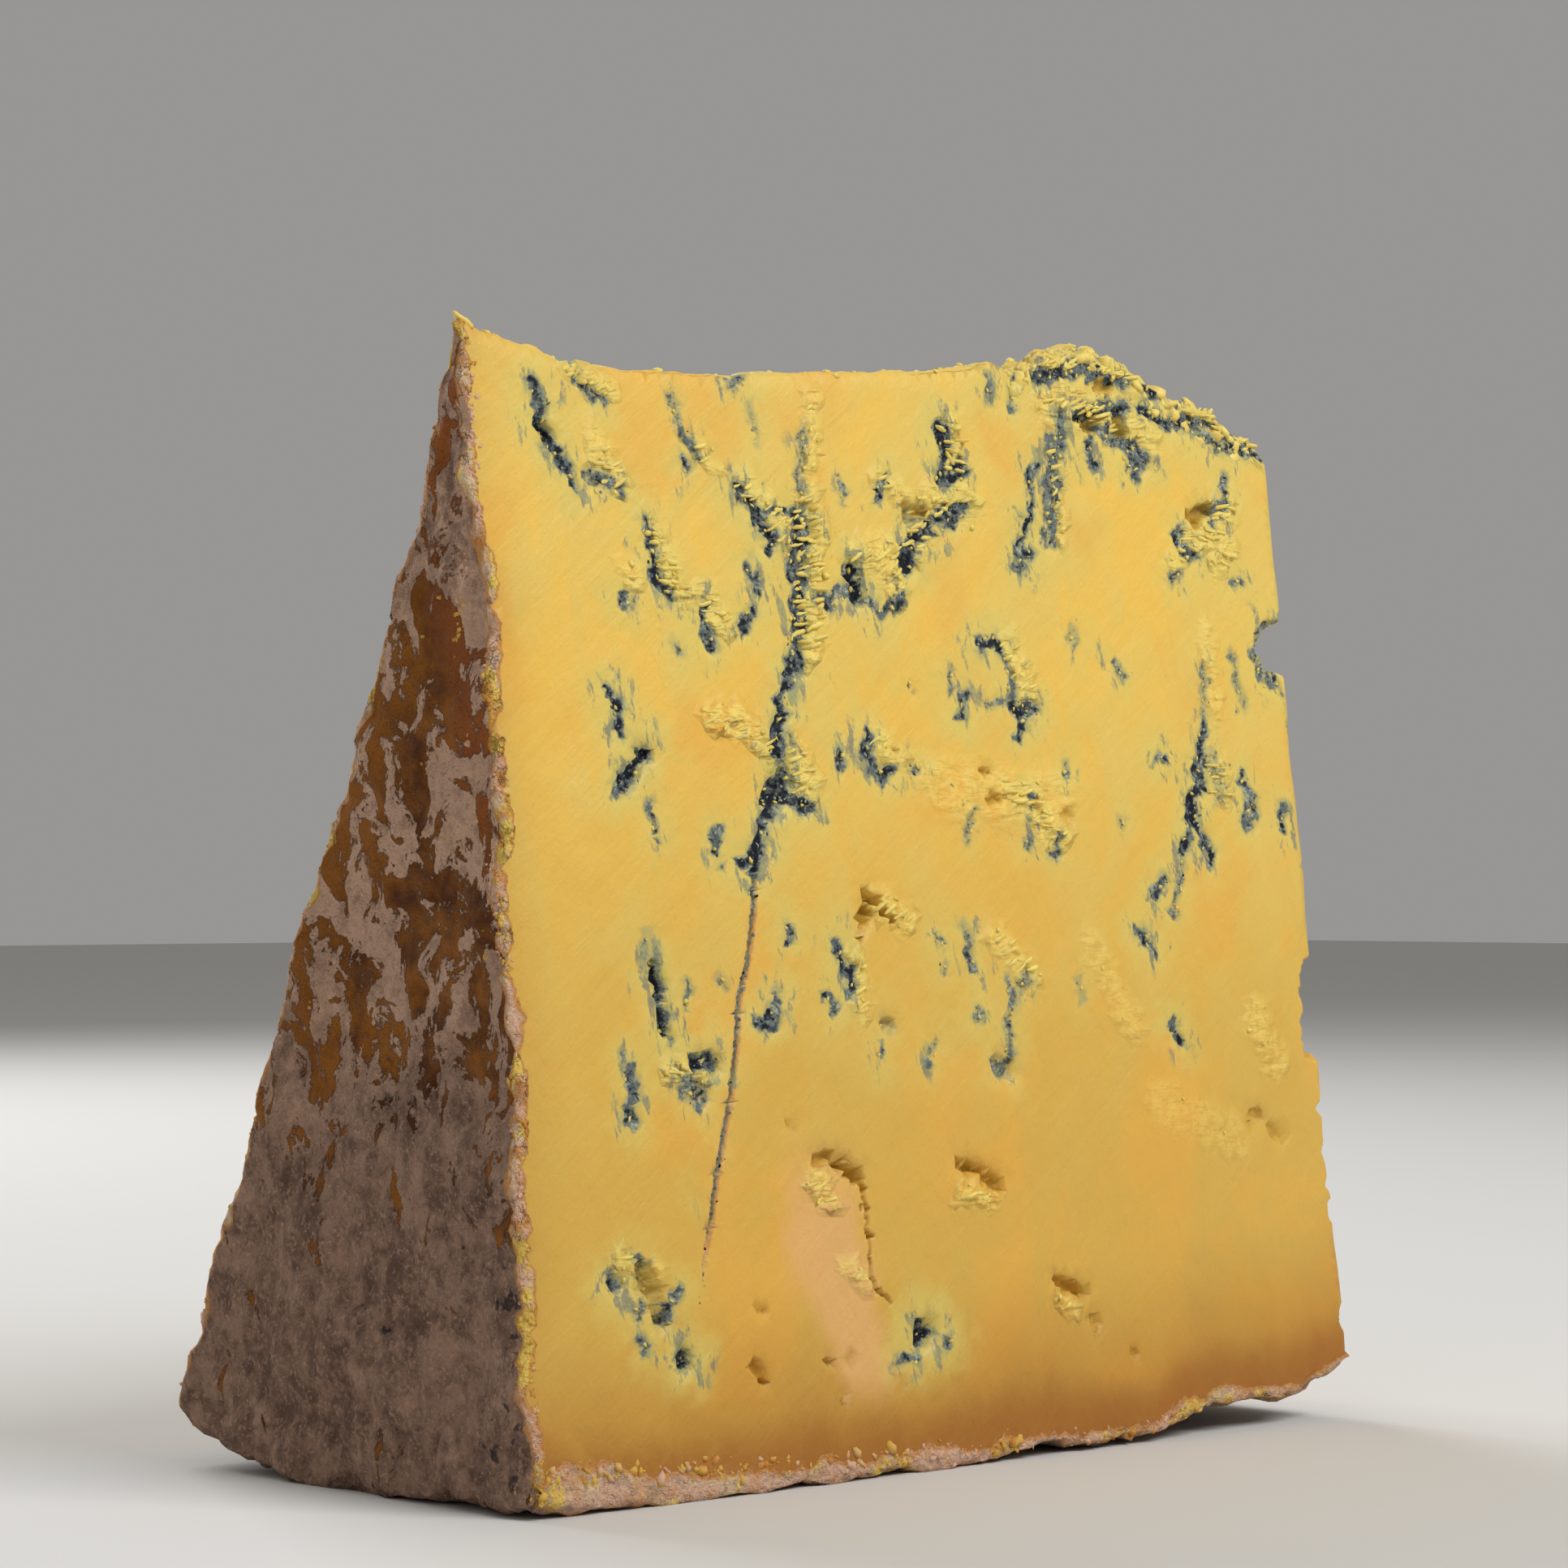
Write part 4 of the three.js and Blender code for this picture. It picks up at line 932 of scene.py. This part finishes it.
def cheese_material(colours):
    """Waxy paste with mould and stains, its broken crust, and the dry rind."""
    paint = Paint("cheese_paste_and_rind")
    fields = (paint.attribute(name) for name in SKIN_FIELDS)
    mould, stain, hollow, curd, groove, crust, rind, rindward_and_shade = fields
    smear = paint.noise(7, 4, 0.55, 0.4, paint.stretched(1.0, 1.0, 0.6))
    grain = paint.noise(1.1, 3, 0.6)
    x, y, z = (paint.axis(name) for name in "XYZ")
    # Painted light: the paste is paler towards the top and towards the right of the cut.
    far = paint.maths("MAXIMUM", paint.rise(z, 70, 102), paint.rise(x, 22, 50))
    pale = paint.rise(smear + far * 0.12, 0.42, 0.62)
    paste = paint.blend(pale * 0.9, colours.paste, colours.paste_pale)
    # Painted shade: the paste darkens towards the bottom of the cut.
    low = paint.rise(z + (smear - 0.5) * 30, 78, 22)
    paste = paint.blend(low * 0.8, paste, colours.shaded_low_paste)
    cloud = paint.noise(17, 3, 0.55, 0.6)
    paste = paint.over(paste, colours.paste_orange, cloud + (smear - 0.5) * 0.3, 0.5, 0.66, 0.5)
    # Painted shade and orange bounce light low near the board, over the browner paste by the rind.
    paste = paint.blend(rindward_and_shade * (0.55 + 0.6 * smear), paste, colours.deep_paste_and_shade)
    paste = paint.over(paste, colours.rind_ochre, rindward_and_shade + (smear - 0.5) * 0.3, 0.5, 0.82, 0.65)
    beside = paint.maths("ABSOLUTE", x + 15.5 + (z - 16) * 0.12 + (cloud - 0.5) * 14)
    pink = paint.rise(beside, 5.5, 2.0) * paint.rise(z + (smear - 0.5) * 8, 5, 10) * paint.rise(z, 32, 22)
    paste = paint.blend(pink * paint.rise(y, -18, -23) * 0.7, paste, colours.paste_pink)
    stained = stain * paint.rise(paint.noise(2.4, 3, 0.6) + stain * 0.35, 0.38, 0.72)
    paste = paint.blend(stained * 0.95, paste, colours.stain)
    paste = paint.blend(curd * paint.rise(grain, 0.38, 0.6) * 0.85, paste, colours.curd)
    # Painted shade in the pockets, over their own ochre lining.
    paste = paint.blend(hollow * 0.85, paste, colours.hollow)
    paste = paint.over(paste, colours.groove_edge, groove, 0.25, 0.6, 0.6)
    paste = paint.over(paste, colours.groove, groove + (grain - 0.5) * 0.25, 0.68, 0.86, 0.9)
    smoke = paint.rise(mould + (grain - 0.5) * 0.4 + stain * 0.12, 0.02, 0.5) * 0.6
    paste = paint.blend(smoke, paste, colours.haze)
    thread = paint.noise(1.5, 4, 0.7, 0.3, paint.stretched(1, 1, 0.36, math.radians(9)))
    threads = paint.rise(thread + stain * 0.2, 0.66, 0.74) * paint.rise(stain, 0.2, 0.5) * 0.75
    paste = paint.blend(threads, paste, paint.over(colours.mould, colours.haze, grain, 0.4, 0.6))
    mask = mould_mask(paint, mould)
    paste = paint.blend(mask, paste, mould_colour(paint, colours, mould))
    comb = paint.noise(1.15, 2, 0.5, 0.3, paint.stretched(0.4, 0.4, 1.35))
    drag = paint.noise(2.0, 3, 0.6, 0.2, paint.stretched(0.12, 1, 1, math.radians(38)))
    fine = paint.noise(0.35, 2, 0.5)
    body = paint.shader(
        base_color=paste, roughness=paint.rise(mask + curd * 0.3, -1.2, 1.3), subsurface_weight=0.2,
        subsurface_radius=(1.0, 0.55, 0.18), subsurface_scale=1.2 * MM, specular_ior_level=0.36, ior=1.44,
        normal=paint.bump(
            fine * 0.04 + grain * 0.08 + drag * 0.2 + smear * 0.5 + curd * comb + mask * fine * 0.25
        ),
    )
    skin, height = rind_skin(paint, colours)
    patch = paint.noise(3.6, 4, 0.6)
    pale = paint.over(colours.rind_pink, colours.crust, patch, 0.46, 0.56)
    pale = paint.over(pale, colours.paste_pale, patch + (smear - 0.5) * 0.6, 0.52, 0.6)
    browned = paint.rise(paint.noise(2.4, 4, 0.65), 0.5, 0.62) * (0.5 + 0.5 * paint.rise(z, 12, 30))
    pale = paint.blend(browned * 0.8, pale, colours.crust_orange)
    dusted = paint.rise(grain + (patch - 0.5) * 0.8, 0.5, 0.62) * paint.rise(z, 9, 3)
    pale = paint.blend(dusted * 0.7, pale, colours.rind)
    lip = paint.rise(crust + (grain - 0.5) * 0.9, 1.0, 0.72)
    pale = paint.blend(lip * 0.75, pale, colours.crust_orange)
    edge = paint.rise(crust + (grain - 0.5) * 1.1, 0.38, 0.55)
    skin = paint.blend(edge, skin, pale)
    shell = paint.shader(base_color=skin, roughness=0.9, specular_ior_level=0.2, normal=paint.bump(height))
    rindlike = paint.maths("MAXIMUM", rind, edge)
    mixed = paint.node("ShaderNodeMixShader", inputs={0: rindlike, 1: body, 2: shell})
    return paint.finish(mixed)


def curd_material(colours):
    """Moist pale yellow curd with a little mould dust."""
    paint = Paint("curd_curls")
    grain = paint.noise(1.4, 3, 0.6)
    colour = paint.over(colours.paste_pale, colours.curd, grain, 0.3, 0.7)
    dust = paint.rise(paint.noise(2.2, 3, 0.65), 0.58, 0.72)
    colour = paint.blend(dust * 0.6, colour, colours.mould)
    shader = paint.shader(
        base_color=colour, roughness=0.5, subsurface_weight=0.25, subsurface_radius=(1.0, 0.6, 0.2),
        subsurface_scale=1.0 * MM, specular_ior_level=0.4, normal=paint.bump(paint.noise(0.4) * 0.05),
    )
    return paint.finish(shader)


def mould_material(colours):
    """Dull blue-grey mould, darker and paler by the crumb."""
    paint = Paint("mould_crumbs")
    tone = paint.noise(1.0, 2, 0.6)
    colour = paint.over(colours.mould, colours.mould_pale, tone, 0.5, 0.66)
    colour = paint.over(colour, colours.mould_dark, tone, 0.5, 0.36)
    shader = paint.shader(base_color=colour, roughness=0.9, specular_ior_level=0.2)
    return paint.finish(shader)


def crust_material(colours):
    """Crumbs of the broken rind: pinkish, yellow and orange-brown."""
    paint = Paint("crust_crumbs")
    tone = paint.noise(3.6, 4, 0.6)
    colour = paint.over(colours.rind_pink, colours.shaded_low_paste, tone, 0.42, 0.54)
    colour = paint.over(colour, colours.crust_orange, paint.noise(2.4, 3), 0.48, 0.6)
    shader = paint.shader(base_color=colour, roughness=0.85, specular_ior_level=0.25)
    return paint.finish(shader)


class CHEESE_OT_wedge(bpy.types.Operator):
    """Make the wedge with its cuts, veins, pockets, crumbled curd and rind"""

    bl_idname = "cheese.wedge"
    bl_label = "Wedge"

    def execute(self, context):
        sizes, colours = context.scene.wedge_sizes, context.scene.cheese_colours
        wedge = Wedge(sizes)
        bm = bmesh.new()
        bmesh.ops.create_cube(bm, size=1, matrix=Matrix.Translation((0.5, 0.5, 0.5)))
        bmesh.ops.subdivide_edges(bm, edges=bm.edges, cuts=7, use_grid_fill=True)
        bmesh.ops.triangulate(bm, faces=bm.faces)
        refine(bm, wedge, sizes, rounds=9)
        relax(bm, turns=3)
        share = np.array([vert.co for vert in bm.verts])
        on = surfaces_at(share)
        p = wedge.place(share)
        skin = Skin(wedge, p, on)
        moved = bite_out(wedge, wedge.round_edges(p, on) + skin.push)
        moved[:, 2] = np.maximum(moved[:, 2], 0)
        moved[on["under"] & (p[:, 2] < 1e-6), 2] = 0
        for vert, place in zip(bm.verts, moved + CORNER):
            vert.co = place
        bmesh.ops.recalc_face_normals(bm, faces=bm.faces)
        piece = add_piece(BODY_PIECE, bm, cheese_material(colours), replaced=True)
        for name, values in skin.fields.items():
            layer = piece.data.attributes.new(name, "FLOAT", "POINT")
            layer.data.foreach_set("value", values)
        return {"FINISHED"}


# A ray that meets the wedge at a flatter angle than this cosine seats nothing.
GRAZING = -0.35

# For each side of the wedge, where its rays start and which way they go. A and b run over the side.
RAYS = {
    "front": (lambda a, b: (a, -40, b), (0, 1, 0)), "back": (lambda a, b: (a, 90, b), (0, -1, 0)),
    "end": (lambda a, b: (150, a, b), (-1, 0, 0)), "top": (lambda a, b: (a, b, 150), (0, 0, -1)),
}


def way_on(side, turn):
    """A way along a side, turned up from its level by an angle."""
    level, rise = math.cos(turn), math.sin(turn)
    return (0, level, rise) if side == "end" else (level, 0, rise)


class Seats:
    """Places on the finished wedge where small pieces sit, as matrices in row millimetres."""

    def __init__(self, context, seed):
        body = bpy.data.objects[BODY_PIECE]
        self.tree = BVHTree.FromObject(body, context.evaluated_depsgraph_get())
        self.draw = np.random.default_rng(seed)
        self.places = []

    def seat(self, side, a, b, along, size, sink, tilt=(0.0, 0.0)):
        """Seats a piece of a size where a side's ray at a and b meets the wedge, its x axis along a way."""
        start, way = RAYS[side]
        spot, normal, _, _ = self.tree.ray_cast(Vector(start(a, b) + CORNER) * MM, Vector(way))
        if spot is None or normal.dot(Vector(way)) > GRAZING:
            return
        along = Vector(along)
        x = (along - along.dot(normal) * normal).normalized()
        turn = Matrix((x, normal.cross(x), normal)).transposed()
        turn = turn @ Matrix.Rotation(tilt[0], 3, "Y") @ Matrix.Rotation(tilt[1], 3, "X")
        lift = Matrix.Translation(spot / MM - normal * sink)
        self.places.append(lift @ turn.to_4x4() @ Matrix.Diagonal((*size, 1)))

    def seat_turned(self, side, a, b, size, sink):
        """Seats a piece that is turned by chance."""
        self.seat(side, a, b, way_on(side, self.draw.uniform(-3, 3)), size, sink)

    def joined(self, shapes):
        """All the seated pieces, each one of the shapes, as one bmesh in row millimetres."""
        bm = bmesh.new()
        for place in self.places:
            shape = shapes[self.draw.integers(len(shapes))].copy()
            shape.transform(place)
            bm.from_mesh(shape)
            bpy.data.meshes.remove(shape)
        for shape in shapes:
            bpy.data.meshes.remove(shape)
        return bm


def small_mesh(bm):
    bmesh.ops.recalc_face_normals(bm, faces=bm.faces)
    return mesh_from("small_shape", bm)


def rib_shape(draw):
    """A rough, bent rib of curd 1 long, as a mesh."""
    bm = bmesh.new()
    upright = Matrix.Rotation(math.pi / 2, 4, "Y")
    bmesh.ops.create_uvsphere(bm, u_segments=6, v_segments=6, radius=0.5, matrix=upright)
    bend, sway, notch = draw.uniform(-0.45, 0.45), draw.uniform(-0.2, 0.2), draw.uniform(-0.4, 0.4)
    for vert in bm.verts:
        x, y, z = vert.co
        thick = 1 - 0.35 * math.exp(-(((x - notch) / 0.12) ** 2))
        y, z = y * thick * draw.uniform(0.7, 1.25), z * thick * draw.uniform(0.7, 1.25)
        vert.co = (x + 0.3 * z, y + bend * (0.25 - x * x) * 2 + sway * x, z)
    return small_mesh(bm)


def crumb_shape(draw, finer=0, uneven=0.35):
    """An uneven crumb of radius 1, as a mesh."""
    bm = bmesh.new()
    bmesh.ops.create_icosphere(bm, subdivisions=1 + finer, radius=1)
    for vert in bm.verts:
        vert.co *= draw.uniform(0.9 - uneven, 0.9 + uneven)
    bmesh.ops.scale(bm, vec=(1, draw.uniform(0.6, 0.9), draw.uniform(0.5, 0.8)), verts=bm.verts)
    return small_mesh(bm)


def along_run(draw, run, spacing):
    """Places at about a spacing along a run of straight pieces."""
    run = np.array(run, float)
    lengths = np.linalg.norm(np.diff(run, axis=0), axis=1)
    reached = np.concatenate(([0], np.cumsum(lengths)))
    count = max(int(reached[-1] / spacing), 1)
    for share in (np.arange(count) + draw.uniform(0.2, 0.8, count)) / count:
        yield np.array([np.interp(share * reached[-1], reached, run[:, n]) for n in (0, 1)])


SIDES_WITH_VEINS = (("front", FRONT_VEINS), ("back", BACK_VEINS), ("end", END_VEINS))


# The smallest amount of crumbled curd that has ribs.
LEAST_RIBBED = 0.55


class CHEESE_OT_ribs(bpy.types.Operator):
    """Add the ribs of curd that the wire dragged up beside the veins"""

    bl_idname = "cheese.ribs"
    bl_label = "Ribs of curd"

    def execute(self, context):
        sizes, colours = context.scene.wedge_sizes, context.scene.cheese_colours
        seats = Seats(context, seed=11)
        draw, thick = seats.draw, sizes.rib_width / MM
        for side, veins in SIDES_WITH_VEINS:
            for width, amount, run in veins["crumbled"]:
                if amount < LEAST_RIBBED:
                    continue
                lean = draw.normal(0.2, 0.25)
                for across, up in along_run(draw, run, 0.8 / amount):
                    for shift in (0.0,) if width < 1.5 else (-0.45, 0.4):
                        a = across + (shift + draw.uniform(-0.25, 0.25)) * width
                        long = (0.8 + 0.6 * width) * draw.uniform(0.6, 1.2)
                        size = (long, thick * draw.uniform(0.55, 1.1), thick * draw.uniform(0.6, 1.1))
                        along = way_on(side, lean + draw.normal(0, 0.16))
                        tilt = (draw.uniform(-0.3, 0.15), draw.uniform(-1, 1))
                        seats.seat(side, a, up + draw.uniform(-0.25, 0.25), along, size, 0.05, tilt)
        # The curl that stands off the ridge's corner at the rind end.
        seats.seat("top", 1.2, 10.8, along=(-1, 0, 0.3), size=(2.4, 0.8, 0.8), sink=-0.2)
        bm = seats.joined([rib_shape(draw) for _ in range(12)])
        add_piece("curd_ribs", bm, curd_material(colours))
        return {"FINISHED"}


# Where the ridge is broken, in millimetres along the length, and how many crumbs and lumps of curd lie along
# the whole ridge and on its broken part.
BROKEN_RIDGE = (66, 104)
RIDGE_CRUMBS = 150
RIDGE_LUMPS = 110


class CHEESE_OT_crumbs(bpy.types.Operator):
    """Add the crumbs of curd on the broken ridge and beside the veins"""

    bl_idname = "cheese.crumbs"
    bl_label = "Crumbs of curd"

    def execute(self, context):
        sizes, colours = context.scene.wedge_sizes, context.scene.cheese_colours
        wedge, seats = Wedge(sizes), Seats(context, seed=14)
        draw, usual = seats.draw, sizes.rib_width / MM * 0.75
        broken = BROKEN_RIDGE[0]
        for number in range(RIDGE_CRUMBS):
            x = draw.uniform(*BROKEN_RIDGE) if number % 5 else draw.uniform(0.5, broken)
            size = usual * draw.uniform(0.6, 1.1, 3) * (1 + 1.6 * draw.uniform() ** 2 * (x > broken))
            along = way_on("top", draw.uniform(-3, 3))
            across = draw.uniform(*wedge.span(x, float(wedge.ridge(x))))
            seats.seat("top", x, across, along, size, 0.3 * size[2] * (x > broken))
        for side, veins in SIDES_WITH_VEINS:
            for width, amount, run in veins["crumbled"]:
                for spot in along_run(draw, run, 1.3 / amount):
                    a, b = spot + draw.normal(0, 0.5 * width, 2)
                    size = usual * draw.uniform(0.35, 0.9, 3) * (1 + 0.8 * draw.uniform() ** 5)
                    seats.seat_turned(side, a, b, size, 0.02)
            for width, _, _, run in veins["mould"]:
                for spot in along_run(draw, run, 1.1 / max(width, 0.5)):
                    a, b = spot + draw.normal(0, 0.45 * width, 2)
                    seats.seat_turned(side, a, b, usual * draw.uniform(0.4, 0.85, 3), 0.0)
        material = curd_material(colours)
        add_piece("curd_crumbs", seats.joined([crumb_shape(draw) for _ in range(12)]), material)
        lumps = Seats(context, seed=15)
        draw = lumps.draw
        for number in range(RIDGE_LUMPS):
            x = broken + 1 + 37 * draw.uniform() ** 0.8
            height = float(wedge.ridge(x))
            size = usual * draw.uniform(1.1, 3.0, 3)
            if number % 2:
                lumps.seat_turned("top", x, draw.uniform(*wedge.span(x, height)), size, 0.45 * size[2])
            else:
                lumps.seat_turned("front", x, height - abs(draw.normal(0, 2.2)), size, 0.5 * size[2])
        bm = lumps.joined([crumb_shape(draw, finer=1, uneven=0.16) for _ in range(10)])
        add_piece("curd_lumps", bm, material)
        return {"FINISHED"}


class CHEESE_OT_mould(bpy.types.Operator):
    """Add the crumbs of mould that line the veins and pockets"""

    bl_idname = "cheese.mould"
    bl_label = "Crumbs of mould"

    def execute(self, context):
        sizes, colours = context.scene.wedge_sizes, context.scene.cheese_colours
        seats = Seats(context, seed=12)
        draw = seats.draw
        for side, veins in SIDES_WITH_VEINS:
            for width, strength, _, run in veins["mould"] + veins["grooves"]:
                for spot in along_run(draw, run, 0.22 / (strength * max(width, 0.4))):
                    a, b = spot + draw.normal(0, 0.45, 2) * width + draw.uniform(-0.3, 0.3, 2)
                    size = sizes.crumb_radius / MM * draw.uniform(0.6, 1.6) * np.ones(3)
                    seats.seat_turned(side, a, b, size, 0.05)
        bm = seats.joined([crumb_shape(draw) for _ in range(8)])
        add_piece("mould_crumbs", bm, mould_material(colours))
        return {"FINISHED"}


# How many crumbs of crust lie along each cut's foot, and up its edge on the two long cuts.
CRUST_CRUMBS = {"front": 420, "back": 200, "end": 120}


class CHEESE_OT_crust(bpy.types.Operator):
    """Add the crumbs along the broken edges of the rind"""

    bl_idname = "cheese.crust"
    bl_label = "Crumbs of crust"

    def execute(self, context):
        sizes, colours = context.scene.wedge_sizes, context.scene.cheese_colours
        wedge, seats = Wedge(sizes), Seats(context, seed=13)
        draw, usual = seats.draw, sizes.crust_radius / MM
        for side in ("front", "back"):
            for _ in range(CRUST_CRUMBS[side]):
                x = draw.uniform(0, 103)
                z = crust_height(x) + draw.normal(-0.1, 0.5)
                if side == "back":
                    z += float(wedge.underside(np.array([x]), np.array([50.0]))[0])
                size = usual * draw.uniform(0.4, 1.0, 3) * (1 + 2.2 * draw.uniform() ** 4)
                seats.seat_turned(side, x, z, size, 0.05)
            for _ in range(CRUST_CRUMBS[side]):
                a, z = 0.7 + abs(draw.normal(0.2, 0.35)), draw.uniform(1, 98)
                seats.seat_turned(side, a, z, usual * draw.uniform(0.4, 1.3, 3), 0.05)
        for _ in range(CRUST_CRUMBS["end"]):
            size = usual * draw.uniform(0.5, 1.2, 3)
            seats.seat("end", draw.uniform(1, 50), 4.5 + abs(draw.normal(0, 0.5)), (0, 1, 0), size, 0.05)
        bm = seats.joined([crumb_shape(draw) for _ in range(8)])
        add_piece("crust_crumbs", bm, crust_material(colours))
        return {"FINISHED"}


# Each light's name, place and size in metres, and power in watts. They all point at the wedge's middle.
LIGHTS = (
    ("key_light", (0.15, -0.64, 0.64), 0.42, 5.9), ("fill_light", (-0.75, -0.30, 0.35), 0.6, 0.4),
    ("back_light", (0.10, 0.75, 0.60), 0.6, 6.0),
)
LIT_POINT = Vector((0, 0, 0.05))
WORLD_STRENGTH = 0.5
FLOOR_REACH = 3

# The camera's place in metres, the ways to the right, to the top and into its picture, and its lens in mm.
CAMERA_PLACE = Vector((-0.283675, -0.304943, 0.052519))
CAMERA_RIGHT = Vector((0.73135, -0.68200, 0))
CAMERA_UP = Vector((-0.01607, -0.01723, 0.99972))
CAMERA_FORWARD = Vector((0.68181, 0.73115, 0.02356))
CAMERA_LENS = 99.97
CAMERA_SENSOR = 36


class CHEESE_OT_studio(bpy.types.Operator):
    """Set up the pale floor, the soft lights and the camera"""

    bl_idname = "cheese.studio"
    bl_label = "Studio"

    def execute(self, context):
        scene = context.scene
        scene.view_settings.view_transform = "Standard"
        bm = bmesh.new()
        bmesh.ops.create_grid(bm, x_segments=1, y_segments=1, size=FLOOR_REACH)
        mesh = mesh_from("studio_floor", bm)
        paint = Paint("studio_floor")
        colour = (*scene.cheese_colours.floor, 1)
        mesh.materials.append(paint.finish(paint.shader(base_color=colour, roughness=0.9)))
        floor = new_object("studio_floor", mesh)
        for name, place, size, power in LIGHTS:
            lamp = bpy.data.lights.new(name, "AREA")
            lamp.energy, lamp.size = power, size
            light = new_object(name, lamp)
            light.location = place
            light.rotation_euler = (LIT_POINT - light.location).to_track_quat("-Z", "Y").to_euler()
        world = bpy.data.worlds.new("studio_world")
        world.use_nodes = True
        backdrop = world.node_tree.nodes["Background"]
        backdrop.inputs["Color"].default_value = colour
        backdrop.inputs["Strength"].default_value = WORLD_STRENGTH
        scene.world = world
        lens = bpy.data.cameras.new("camera")
        lens.sensor_width = CAMERA_SENSOR
        lens.lens = CAMERA_LENS
        lens.clip_start = 0.01
        camera = new_object("camera", lens)
        turn = Matrix((CAMERA_RIGHT, CAMERA_UP, -CAMERA_FORWARD)).transposed().to_4x4()
        camera.matrix_world = Matrix.Translation(CAMERA_PLACE) @ turn
        scene.camera = camera
        return {"FINISHED"}


class CHEESE_PT_panel(bpy.types.Panel):
    """Lists the steps of the cheese"""

    bl_idname = "CHEESE_PT_panel"
    bl_label = "Blue cheese wedge"
    bl_space_type = "VIEW_3D"
    bl_region_type = "UI"
    bl_category = "Cheese"

    def draw(self, context):
        for step_class in STEPS:
            self.layout.operator(step_class.bl_idname)
        for group in (context.scene.wedge_sizes, context.scene.cheese_colours):
            for name in group.__annotations__:
                self.layout.prop(group, name)


STEPS = (
    CHEESE_OT_wedge, CHEESE_OT_ribs, CHEESE_OT_crumbs, CHEESE_OT_mould, CHEESE_OT_crust, CHEESE_OT_studio,
)
CLASSES = (WedgeSizes, CheeseColours, *STEPS, CHEESE_PT_panel)


def register():
    for item in CLASSES:
        bpy.utils.register_class(item)
    bpy.types.Scene.wedge_sizes = PointerProperty(type=WedgeSizes)
    bpy.types.Scene.cheese_colours = PointerProperty(type=CheeseColours)


def unregister():
    del bpy.types.Scene.wedge_sizes
    del bpy.types.Scene.cheese_colours
    for item in reversed(CLASSES):
        bpy.utils.unregister_class(item)


def main():
    register()
    for step_class in STEPS:
        group, name = step_class.bl_idname.split(".")
        getattr(getattr(bpy.ops, group), name)()


if __name__ == "__main__":
    main()
